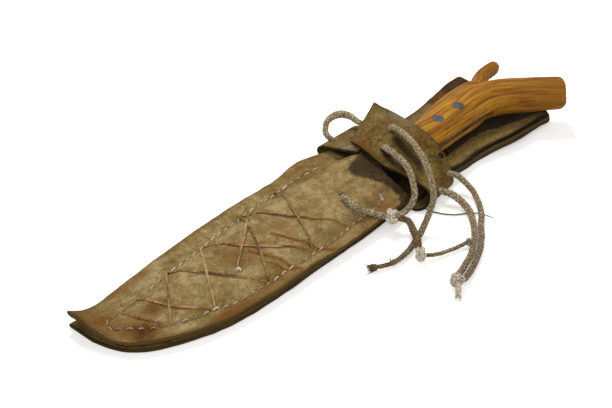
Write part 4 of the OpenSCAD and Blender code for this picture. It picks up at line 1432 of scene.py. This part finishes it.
@dataclass
class Collar:
    """The strap wound a little more than once round sheath and handle, with its five punched holes.

    The leather grips the cords, so the holes are open by a share of what was punched.
    """

    form: Form
    grip: float = 0.9
    along: int = 330
    across: int = 40
    pattern_l: float = 380.0

    def edges(self) -> tuple[list, list]:
        """Returns the points of the strap's tip-side edge and those of its handle-side edge."""
        f = self.form
        low, by, sy = f.collar_t / 2, f.belly_y, f.spine_y
        flap = f.plane_at(f.strap_x) + f.blade_t / 2 + f.knife_gap + f.leather_t + 2 * (f.lay_gap + f.collar_t) - low
        over = f.handle_low + f.handle_d + 3 * f.knife_gap + low
        near = [(11.5, 24.5, flap - 1.7), (7, 11, flap + 1.7), (3.5, -3.5, flap + 1.4), (1.5, -19, flap),
                (4, -34, flap - 1.5), (8, -46, flap - 5.5), (10, by - 7.5, 12.5), (5, by - 11, 5.5),
                (-1.5, by - 4, low), (0, -30, low), (1, 0, low), (2, 30, low), (3, sy - 2, low), (3.5, sy + 4.5, 5),
                (3, sy, 11), (2.5, 32, 16), (2, 21, 20), (4, 10, 22)]
        far = [(12, 39.5, 31), (8, 24, 33.5), (3.5, 6, over - 0.3), (1, -12.5, over), (0.5, -28, over - 3.5),
               (0, -41, over - 12.5), (-1, by - 2, 14), (-2, by - 5.5, 6), (-3, by - 1, low), (-3, -28, low),
               (-2, 0, low), (-1, 25, low), (0, sy - 3, low), (0, sy + 4, 5), (-1, sy - 1, 11.5), (-2, 34, 15.5),
               (-3, 25, 18.7), (-4, 16, 20.8)]
        starts = ((near, f.strap_x), (far, f.strap_x + f.collar_w))
        return tuple([(start + x, y, z) for x, y, z in edge] for edge, start in starts)

    def build(self) -> None:
        """Builds the strap, wavy, worn along its edges, with the cords' shadows painted on its flap, and pierced."""
        f = self.form
        t, v = np.linspace(0, 1, self.along), np.linspace(0, 1, self.across)[:, None]
        a, b = (spline(edge, t)[:, None] for edge in self.edges())
        middle = a * (1 - v) + b * v
        du, dv = np.gradient(middle, axis=0), np.gradient(middle, axis=1)
        normal = np.cross(dv, du)
        normal /= np.linalg.norm(normal, axis=2, keepdims=True)
        if normal[3, self.across // 2, 2] < 0:
            normal = -normal
        s, w = np.meshgrid(t * self.pattern_l, v[:, 0] * f.collar_w, indexing="ij")
        t = t[:, None]
        flap, inner = smooth((0.30 - t) / 0.05), smooth((t - 0.85) / 0.03)
        uneven = 0.4 * layered_noise(s, w, 13.0, 61) + 0.14 * layered_noise(s, w, 4.0, 65, 2)
        ends = np.minimum(w, f.collar_w - w)
        curled = 0.5 * np.exp(-((ends / 5.0) ** 2))
        top = middle + normal * (f.collar_t / 2 + flap * (uneven + curled))[..., None]
        low = middle - normal * (f.collar_t / 2 - flap * curled)[..., None]
        close = np.minimum(ends, np.minimum(s, self.pattern_l - s))
        edge = clamp(1.0 - close / (3.4 + 1.6 * lattice_noise(s, w, 11.0, 71))) ** 1.2
        x, y = middle[..., 0], middle[..., 1]
        rust = 0.9 * streak(x, y, [(135, 21), (132.5, 12), (131, 3)], 3.6)
        rust += blots(x, y, (168, -14, 3.5, 9, 0.4), (160, -26, 6, 6, 0.25), (150, 14, 8, 5, 0.25))
        rust = flap * rust + 0.22 * layered_noise(s, w, 20.0, 73)
        # Pale grey worn patches on the inner turn and on the flap.
        shade_and_stain = 0.75 * inner * smooth((y - 5) / 20) * (0.7 + layered_noise(s, w, 9.0, 75))
        shade_and_stain += flap * blots(x, y, (171, 2, 5, 18, 0.6))
        # Painted shadow: the dark bands beside the cords on the flap are the cords' cast shadows, given in the cut
        # colour.
        cord_shadow = np.maximum(streak(x, y, [(151.5, -9), (148, -21.5), (145, -37), (141, -46)], 3.0),
                             streak(x, y, [(136.5, -11), (133.7, -22), (132.3, -33)], 2.4))
        obj = leather_sheet("collar", low, top, marked(rust, edge, shade_and_stain, flap * clamp(1.5 * cord_shadow)), Rim.WORN)
        holes = [((158.5, 2.5, 33.4), (0, -15, 0)), ((139, -7.5, 27), (0, -15, 0)), ((166, -41.5, 25), (40, -10, 0)),
                 ((165, -50.5, 14), (90, 0, 0)), ((147.5, -56, 9.3), (90, 0, 0))]
        cut_away(obj, [round_cutter(at, lean, f.hole_d * self.grip, 10) for at, lean in holes])
        hand_over(obj, Body.SHEATH, COLLAR_LEATHER.build(), "collar_leather", "collar")


@dataclass
class Lacing:
    """The sinew that crosses the front, three strands twisted together in each stretch.

    Each of the stretches has its hole at the spine, its hole at the belly, how worn pale it is and how far
    it bows aside. The steep ones come last and lie one strand higher.
    """

    form: Form
    strand_d: float = 0.86
    spread: float = 0.62
    spacing: float = 0.8
    lift: float = 0.5
    steep_lift: float = 1.4
    sunk: float = 1.2
    shallow: int = 5
    top_holes: tuple = ((-111.5, 12), (-94, 16), (-60, 23), (-23, 28), (22, 33), (63, 36), (26, 27))
    low_holes: tuple = ((-97, -23), (-66, -33), (-20, -39), (26, -38), (66, -38), (-27, -15))
    stretches: tuple = ((0, 0, 0.0, -4.5), (1, 1, 0.0, -6.0), (2, 2, 0.2, -4.5), (3, 3, 0.3, -6.5), (4, 4, 0.05, -5.5),
                        (2, 0, 0.3, 0.0), (3, 1, 0.75, 0.0), (4, 2, 0.1, 0.0), (5, 3, 0.0, 0.0), (6, 5, 0.5, 0.0))

    def lie(self, line: Array, lift: float) -> Array:
        """Lays a line on the front as a taut strand lies: on the leather, and nearly straight over a dip.

        Args:
            line: Places x and y, evenly spaced.
            lift: Height over the leather.

        Returns:
            Points with their heights.
        """
        leather = self.form.front_top(line[:, 0], line[:, 1])
        ground = leather + 0.5 * np.sin(np.linspace(0, math.pi, len(leather)))
        at = np.arange(len(ground))
        held = [0]
        for k in range(1, len(ground)):
            while len(held) > 1:
                a, b = held[-2:]
                if (ground[b] - ground[a]) * (k - a) > (ground[k] - ground[a]) * (b - a):
                    break
                held.pop()
            held.append(k)
        z = np.interp(at, held, ground[held])
        for _ in range(45):
            z[1:-1] = 0.25 * z[:-2] + 0.5 * z[1:-1] + 0.25 * z[2:]
        ends = np.minimum(at, at[::-1])
        sunk = self.sunk * (1 - smooth((ends + 1.5) / 3))
        return np.column_stack([line, np.maximum(z, leather) + lift * smooth((ends + 1) / 4) - sunk])

    def build(self, finish: Material) -> None:
        """Builds all the crossing strands.

        Args:
            finish: Their material.
        """
        surface = Surface()
        rng = np.random.default_rng(4)
        for k, (a, b, worn, slack) in enumerate(self.stretches):
            start, end = np.array(self.top_holes[a], float), np.array(self.low_holes[b], float)
            long = np.linalg.norm(end - start)
            t = np.linspace(0, 1, int(long / self.spacing))
            across = np.array([-(end - start)[1], (end - start)[0]]) / long
            sway, turns, first = slack + rng.uniform(-1, 1), rng.uniform(1.2, 2.2), rng.uniform(0, 1)
            spread = self.spread * (0.35 + 0.65 * np.sin(math.pi * t) ** 0.6)
            for part in range(3):
                angle = 2 * math.pi * (t * turns + part / 3) + first
                aside = np.sin(math.pi * t) * sway + spread * np.cos(angle)
                line = start + (end - start) * t[:, None] + across * aside[:, None]
                path = self.lie(line, self.lift if k < self.shallow else self.steep_lift)
                path[:, 2] += 0.3 * spread * np.sin(angle)
                radii = self.strand_d / 2 * (1 + 0.16 * np.sin(9 * t + k + part) + 0.08 * np.sin(31 * t))
                pale = worn + 0.35 * np.sin(0.11 * np.arange(len(t)) + 2.4 * k + part) - 0.1
                surface.tube(path, radii, marked(pale), sides=7, flat=0.8)
        hand_over(surface.build("front_lacing"), Body.SHEATH, finish, "sinew", "front_lacing")

    def loose_ends(self, thread: Material, sinew: Material) -> None:
        """Builds the two pale knots that broken strands are left in, and the short strand under one of them.

        Args:
            thread: The material of the knots.
            sinew: The material of the strand.
        """
        knots, torn = Surface(), Surface()
        rng = np.random.default_rng(9)
        t = np.linspace(0, 1, 9)
        for x, y, size in ((-29.6, -18.2, 2.9), (104.9, -34.1, 2.7)):
            for _ in range(13):
                angle, reach = rng.uniform(0, 2 * math.pi), size * rng.uniform(0.5, 1.0)
                bow = rng.uniform(-1, 1) * np.sin(math.pi * t)
                px = x + math.cos(angle) * reach * t - math.sin(angle) * bow
                py = y + math.sin(angle) * reach * t + math.cos(angle) * bow
                z = self.form.front_top(px, py) + 0.4 + rng.uniform(0.3, 1.2) * np.sin(math.pi * (0.25 + 0.75 * t))
                knots.tube(np.column_stack([px, py, z]), 0.45 * (1 - 0.4 * t**2))
        for side in (-0.4, 0.4):
            px, py = 104.4 - 6.6 * t, -34.6 - 3.6 * t + side * np.sin(math.pi * t)
            path = np.column_stack([px, py, self.form.front_top(px, py) + 0.5])
            torn.tube(path, 0.5 * (1 - 0.35 * t), np.tile(marked(0.3), (len(t), 1)))
        for ends, name, finish in ((knots, "loose_ends", thread), (torn, "torn_strand", sinew)):
            hand_over(ends.build(name), Body.SHEATH, finish, "sinew")


@dataclass
class Stitches:
    """Running stitches of waxed thread round the pocket, one for each pitch of the seam."""

    form: Form
    pitch: float = 7.6
    vary: float = 0.28
    stitch_l: float = 4.7
    stitch_d: float = 1.3

    def seam_line(self) -> Array:
        """Returns the places x and y of the seam on the front, about a millimetre apart."""
        spine = [(103, 31), (85, 35.5), (73, 35.5), (52, 33.5), (31, 33), (8, 30.5), (-14, 27.5), (-29, 24),
                 (-55, 21.5), (-77, 18.5), (-93, 15.5), (-109, 14), (-119, 14)]
        tip = [(-125, 11), (-124.5, 3), (-118, -7), (-109, -15), (-102, -19)]
        belly = [(-90, -25), (-78, -30), (-65, -33), (-51, -37), (-22, -39), (2, -39.5), (25, -39.5), (51, -39.5),
                 (67, -37.5), (80, -36.5), (93, -37)]
        line = resampled(spline([*spine, *tip, *belly], np.linspace(0, 1, 600)), 1.0)
        line[:, 1] += 0.5 * lattice_noise(line[:, 0], line[:, 1], 16.0, 81)
        return line

    def one(self) -> Piece:
        """Returns one stitch, lying along x, bowed a little and sunk at both ends."""
        t = np.linspace(-1, 1, 9)
        stitch = Surface()
        path = np.column_stack([self.stitch_l / 2 * t, 0.25 * np.sin(3 * t), 0.42 - 1.05 * t**4])
        stitch.tube(path, self.stitch_d / 2 * (1 - 0.25 * t**4), None, sides=8, flat=0.8)
        obj = stitch.build("stitch")
        obj.data.attributes.remove(obj.data.attributes["marks"])
        return obj

    def tree(self, stitch: Piece, finish: Material) -> bpy.types.NodeTree:
        """Builds the tree that sews the seam.

        Args:
            stitch: The stitch that it repeats.
            finish: The thread's material.

        Returns:
            The tree, with inputs for the pitch and for how much the stitches vary.
        """
        tree = bpy.data.node_groups.new("sewn_seam", "GeometryNodeTree")
        for name, way, kind in (("Geometry", "INPUT", "Geometry"), ("Pitch", "INPUT", "Float"),
                                ("Vary", "INPUT", "Float"), ("Geometry", "OUTPUT", "Geometry")):
            tree.interface.new_socket(name, in_out=way, socket_type="NodeSocket" + kind)
        nodes = Nodes(tree)
        seam = nodes.add("NodeGroupInput")
        pitch, vary = seam.node.outputs[1:3]
        line = nodes.add("GeometryNodeMeshToCurve", (seam,))
        even = nodes.add("GeometryNodeResampleCurve", {"Curve": line, "Length": pitch}, mode="LENGTH")
        tangent = nodes.add("GeometryNodeInputTangent")
        turn = nodes.add("FunctionNodeAlignRotationToVector", {"Vector": tangent}, axis="X", pivot_axis="Z")
        low, high = (nodes.add(Kind.MATH, (1.0, vary), operation=way) for way in ("SUBTRACT", "ADD"))
        size = nodes.add(Kind.RANDOM, {2: low, 3: high, "Seed": 7}, 1, data_type="FLOAT")
        one = nodes.add("GeometryNodeObjectInfo", (stitch,), "Geometry")
        placed = nodes.add("GeometryNodeInstanceOnPoints", {"Points": even, "Instance": one, "Rotation": turn,
                                                            "Scale": size})
        x = nodes.add("ShaderNodeSeparateXYZ", (nodes.add("GeometryNodeInputPosition"),))
        # The stitches get darker towards the tip and the belly edge, and by a random amount each.
        at_tip = nodes.add(Kind.RANGE, (x, -0.1, -0.03, 0.85, 0.0))
        at_belly = nodes.add(Kind.RANGE, (x.node.outputs[1], -0.035, 0.0, 0.5, 0.0))
        chance = nodes.add(Kind.RANDOM, {2: -0.2, 3: 0.55, "Seed": 12}, 1, data_type="FLOAT")
        darkening = nodes.add(Kind.MATH, (at_tip, at_belly), operation="MAXIMUM")
        darkening = nodes.add(Kind.MATH, (darkening, chance), operation="ADD", use_clamp=True)
        darkening_marks = nodes.add("ShaderNodeCombineXYZ", (darkening,))
        marks = nodes.add("GeometryNodeStoreNamedAttribute", {"Geometry": placed, "Name": "marks", "Value": darkening_marks},
                          data_type="FLOAT_COLOR", domain="INSTANCE")
        real = nodes.add("GeometryNodeRealizeInstances", (marks,))
        nodes.add("NodeGroupOutput", (nodes.add("GeometryNodeSetMaterial", {"Geometry": real, "Material": finish}),))
        return tree

    def build(self, finish: Material) -> None:
        """Builds all the stitches of the seam as one plain mesh.

        Args:
            finish: The thread's material.
        """
        line = self.seam_line()
        points = np.column_stack([line, self.form.front_top(line[:, 0], line[:, 1]) + 0.1])
        mesh = bpy.data.meshes.new("seam_stitches")
        mesh.from_pydata((points * MM).tolist(), [(i, i + 1) for i in range(len(points) - 1)], [])
        obj = linked("seam_stitches", mesh)
        stitch = self.one()
        sewn = obj.modifiers.new("sewn", "NODES")
        sewn.node_group = self.tree(stitch, finish)
        inputs = {item.name: item.identifier for item in sewn.node_group.interface.items_tree if item.in_out == "INPUT"}
        sewn[inputs["Pitch"]] = self.pitch * MM
        sewn[inputs["Vary"]] = self.vary
        applied(obj)
        bpy.data.objects.remove(stitch)
        obj.data.shade_smooth()
        hand_over(obj, Body.SHEATH, finish, "cotton_cord")


@dataclass
class Handle:
    """The forked branch: a main stem that bends away at the fork, and a short prong."""

    form: Form
    voxel_mm: float = 0.75
    rivet_x: tuple[float, float] = (195.5, 220.5)
    rivet_off: float = 3.0
    head_d: float = 8.8
    head_t: float = 2.6
    rivet_gap: float = 0.08
    bar_l: float = 10.0
    flat: float = 0.87
    thinnest: float = 0.6
    batch: int = 8000

    def lines(self) -> tuple[Array, Array, Array]:
        """Returns stem, prong and the swelling before the fork as rows of x, y, z and radius, in the knife's frame."""
        f = self.form

        def rows(radius: float, *shares: tuple[float, ...]) -> list:
            """Returns rows in millimetres from places in shares of the handle's length, heights and added radii."""
            return [(f.handle_x + x * f.handle_l, f.axis_y + y * f.handle_l, f.axis_off + z, radius + r)
                    for x, y, z, r in shares]

        half, along = f.handle_d / 2, np.linspace(0, 1, 150)
        stem = rows(half, (0, 0, 0, -0.4), (0.11, 0, 0, 0), (0.27, 0, 0, -0.2), (0.42, 0, 0, 0),
                    (0.55, -0.004, 0, 0.3), (0.64, -0.022, 0, 0.5), (0.72, -0.064, 0.3, 0.3), (0.8, -0.134, 0.7, -0.1),
                    (0.9, -0.234, 1.2, -0.6), (0.985, -0.323, 1.6, -1))
        caps = rows(half, (0.996, -0.335, 1.65, -2), (1.004, -0.344, 1.7, -3.8), (1.007, -0.347, 1.7, -6.5))
        prong = rows(f.prong_d / 2, (0.6, 0.035, 0.5, 2), (0.712, 0.08, 1, 2.1), (0.785, 0.12, 1.6, 0.9),
                     (0.85, 0.142, 1.9, -0.4), (0.925, 0.144, 2, -0.5), (0.965, 0.144, 2, -1.6), (0.99, 0.144, 2, -4.2))
        shoulder = rows(half, (0.12, 0.012, 0, -2.2), (0.22, 0.034, 0.1, -2), (0.32, 0.054, 0.2, -2),
                        (0.42, 0.069, 0.3, -2.2), (0.55, 0.069, 0.4, -2), (0.65, 0.076, 0.5, -3.5),
                        (0.73, 0.085, 0.8, -6))
        return np.concatenate([spline(stem, along), caps]), spline(prong, along[::2]), spline(shoulder, along[::2])

    def lip(self) -> Array:
        """Returns the lip of wood below the slot, which stands out past the round of the branch."""
        f, d = self.form, self.form.handle_d
        rows = [(f.handle_x + x * f.handle_l, f.axis_y - 0.26 * out * d, f.axis_off - 0.285 * out * d, r * d)
                for x, out, r in ((0, 1, 0.2), (0.14, 1, 0.212), (0.28, 1, 0.21), (0.42, 1, 0.212), (0.53, 0.95, 0.21),
                                  (0.62, 0.65, 0.2))]
        return spline(rows, np.linspace(0, 1, 60))

    def flat_at(self, x: Array) -> Array:
        """Returns the height that the maker's knife left the top of the branch at, which is flat at the rivets."""
        f, free = self.form, self.form.handle_d / 2 + 1
        start, end = self.rivet_x[0] - self.head_d, self.rivet_x[1] + self.head_d
        heights = [free, self.flat_z(), self.flat_z(), free]
        return f.axis_off + np.interp(x, [start - 14, start, end, end + 20], heights)

    def flat_z(self) -> float:
        """Returns the height of the flat over the branch's axis."""
        return self.flat * self.form.handle_d / 2

    def rough(self) -> Piece:
        """Returns the two branches grown together into one closed mesh."""
        stem, prong, shoulder = self.lines()
        surface = Surface()
        for line, sides in ((shoulder, 48), (stem, 64), (prong, 40), (self.lip(), 32)):
            surface.tube(line[:, :3], np.maximum(line[:, 3], self.thinnest), sides=sides)
        obj = surface.build("handle")
        grown = obj.modifiers.new("grown", "REMESH")
        grown.mode, grown.voxel_size = "VOXEL", self.voxel_mm * MM
        soft = obj.modifiers.new("soft", "SMOOTH")
        soft.factor, soft.iterations = 0.5, 8
        return applied(obj)

    def grain(self, p: Array) -> Array:
        """Finds where places are in the branch that they are nearest to.

        Args:
            p: The places, in the knife's own frame.

        Returns:
            For each the distance along the branch, and two offsets from its middle line.
        """
        stem, prong, _ = self.lines()
        best, grain = np.full(len(p), 1e9), np.zeros((len(p), 3))
        for line, turn in ((stem, 0.0), (prong, 40.0)):
            _, first, second = frames_along(line[:, :3])
            s = distances(line[:, :3])
            for start in range(0, len(p), self.batch):
                part = slice(start, start + self.batch)
                q = p[part]
                far = np.linalg.norm(q[:, None] - line[None, :, :3], axis=2)
                k = far.argmin(axis=1)
                off = far[np.arange(len(q)), k] - line[k, 3]
                rel = q - line[k, :3]
                row = np.column_stack([s[k] + turn, (rel * first[k]).sum(1), (rel * second[k]).sum(1)])
                grain[part] = np.where((off < best[part])[:, None], row, grain[part])
                best[part] = np.minimum(off, best[part])
        return grain

    def carve(self, obj: Piece) -> None:
        """Shapes the wood's surface in long ridges and hollows, and keeps where each point is along the grain.

        Args:
            obj: The rough handle, in the knife's own frame.
        """
        p, normals = rows_of(obj, "co") / MM, rows_of(obj, "normal")
        grain = self.grain(p)
        around = np.arctan2(grain[:, 2], grain[:, 1])
        u, v = 14 * np.cos(around), 14 * np.sin(around)
        ridge = layered_noise(u + grain[:, 0] * 0.05, v + 40, 4.2, 101, 3)
        broad = layered_noise(u + 90, v + grain[:, 0] * 0.08, 11.0, 111, 2)
        lump = layered_noise(p[:, 0], p[:, 1], 22.0, 121, 2)
        worn = smooth((p[:, 0] - self.form.handle_x - 2) / 9)
        p += normals * ((0.34 * ridge + 0.5 * broad + 0.4 * lump) * (0.4 + 0.6 * worn) - 0.35)[:, None]
        x, y, z = p.T
        flat = self.flat_at(x) + 0.07 * ridge
        p[:, 2] = np.where(normals[:, 2] > 0, np.minimum(z, flat), z)
        obj.data.vertices.foreach_set("co", (p * MM).ravel())
        keep(obj.data, "grain", grain)
        cut_end = smooth((normals[:, 0] * 0.62 - normals[:, 1] * 0.78 - 0.72) / 0.12) * smooth((x - 300) / 8)
        on_prong = smooth((y - self.form.axis_y - 14 - 0.05 * (x - 260)) / 5) * smooth((x - 252) / 12)
        browned = smooth((x - self.form.handle_x - 62) / 55)
        keep(obj.data, "marks", marked(-1.6 * (ridge + 0.42), cut_end, on_prong, browned))

    def build(self) -> None:
        """Builds the handle with its slot for the tang and its rivet holes."""
        f = self.form
        obj = self.rough()
        self.carve(obj)
        half, back = f.blade_t / 2 + f.tang_gap, f.axis_y + f.tang_w / 2 + f.tang_gap
        x0, x1 = f.handle_x - f.handle_d, f.heel_x + f.tang_l + f.tang_gap
        corners = [[x, y, z] for z in (-half, half) for y in (back - 2 * f.handle_d, back) for x in (x0, x1)]
        slot = Surface()
        slot.add(corners, [[0, 2, 3, 1], [4, 5, 7, 6], [0, 1, 5, 4], [2, 6, 7, 3], [0, 4, 6, 2], [1, 3, 7, 5]])
        bar_d, sunk = self.head_d + 2 * self.rivet_gap, self.head_t + self.rivet_gap - self.bar_l / 2
        heights = (self.flat_z() - sunk, -0.96 * f.handle_d / 2 + sunk)
        bars = [((x, f.axis_y - self.rivet_off, f.axis_off + z), (0, 0, 0), bar_d, self.bar_l)
                for x in self.rivet_x for z in heights]
        cut_away(obj, [slot.build("slot"), *(round_cutter(*bar) for bar in bars)])
        obj.data.vertices.foreach_set("co", (f.in_knife(rows_of(obj, "co") / MM) * MM).ravel())
        obj.data.shade_smooth()
        obj.data.update()
        hand_over(obj, Body.KNIFE, BranchWood().build(), "branch_wood", "handle")


class Steel:
    """The blade and the rivets, which keep their CAD shapes."""

    def build(self, frame: dict) -> None:
        """Dresses the CAD nodes.
        """
        blade, rivet = BLADE_STEEL.build(), RIVET_STEEL.build()
        for name, finish in (("blade", blade), ("rivet_front", rivet), ("rivet_rear", rivet)):
            obj = frame["nodes"][name]
            obj.data.materials.clear()
            obj.data.materials.append(finish)
            LOG.info("%s dressed", name)


def main() -> None:
    """Builds the studio, the cords and then the knife and its sheath."""
    logging.basicConfig(level=logging.INFO, format="%(message)s", stream=sys.stdout)
    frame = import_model()
    form = Form()
    Studio().build()
    Cordage().build()
    SheathLeather(form).build()
    Collar(form).build()
    thread, sinew = STITCH_COTTON.build(), PALE_SINEW.build()
    lacing = Lacing(form)
    lacing.build(sinew)
    lacing.loose_ends(thread, sinew)
    Stitches(form).build(thread)
    Handle(form).build()
    Steel().build(frame)


if __name__ == "__main__":
    main()
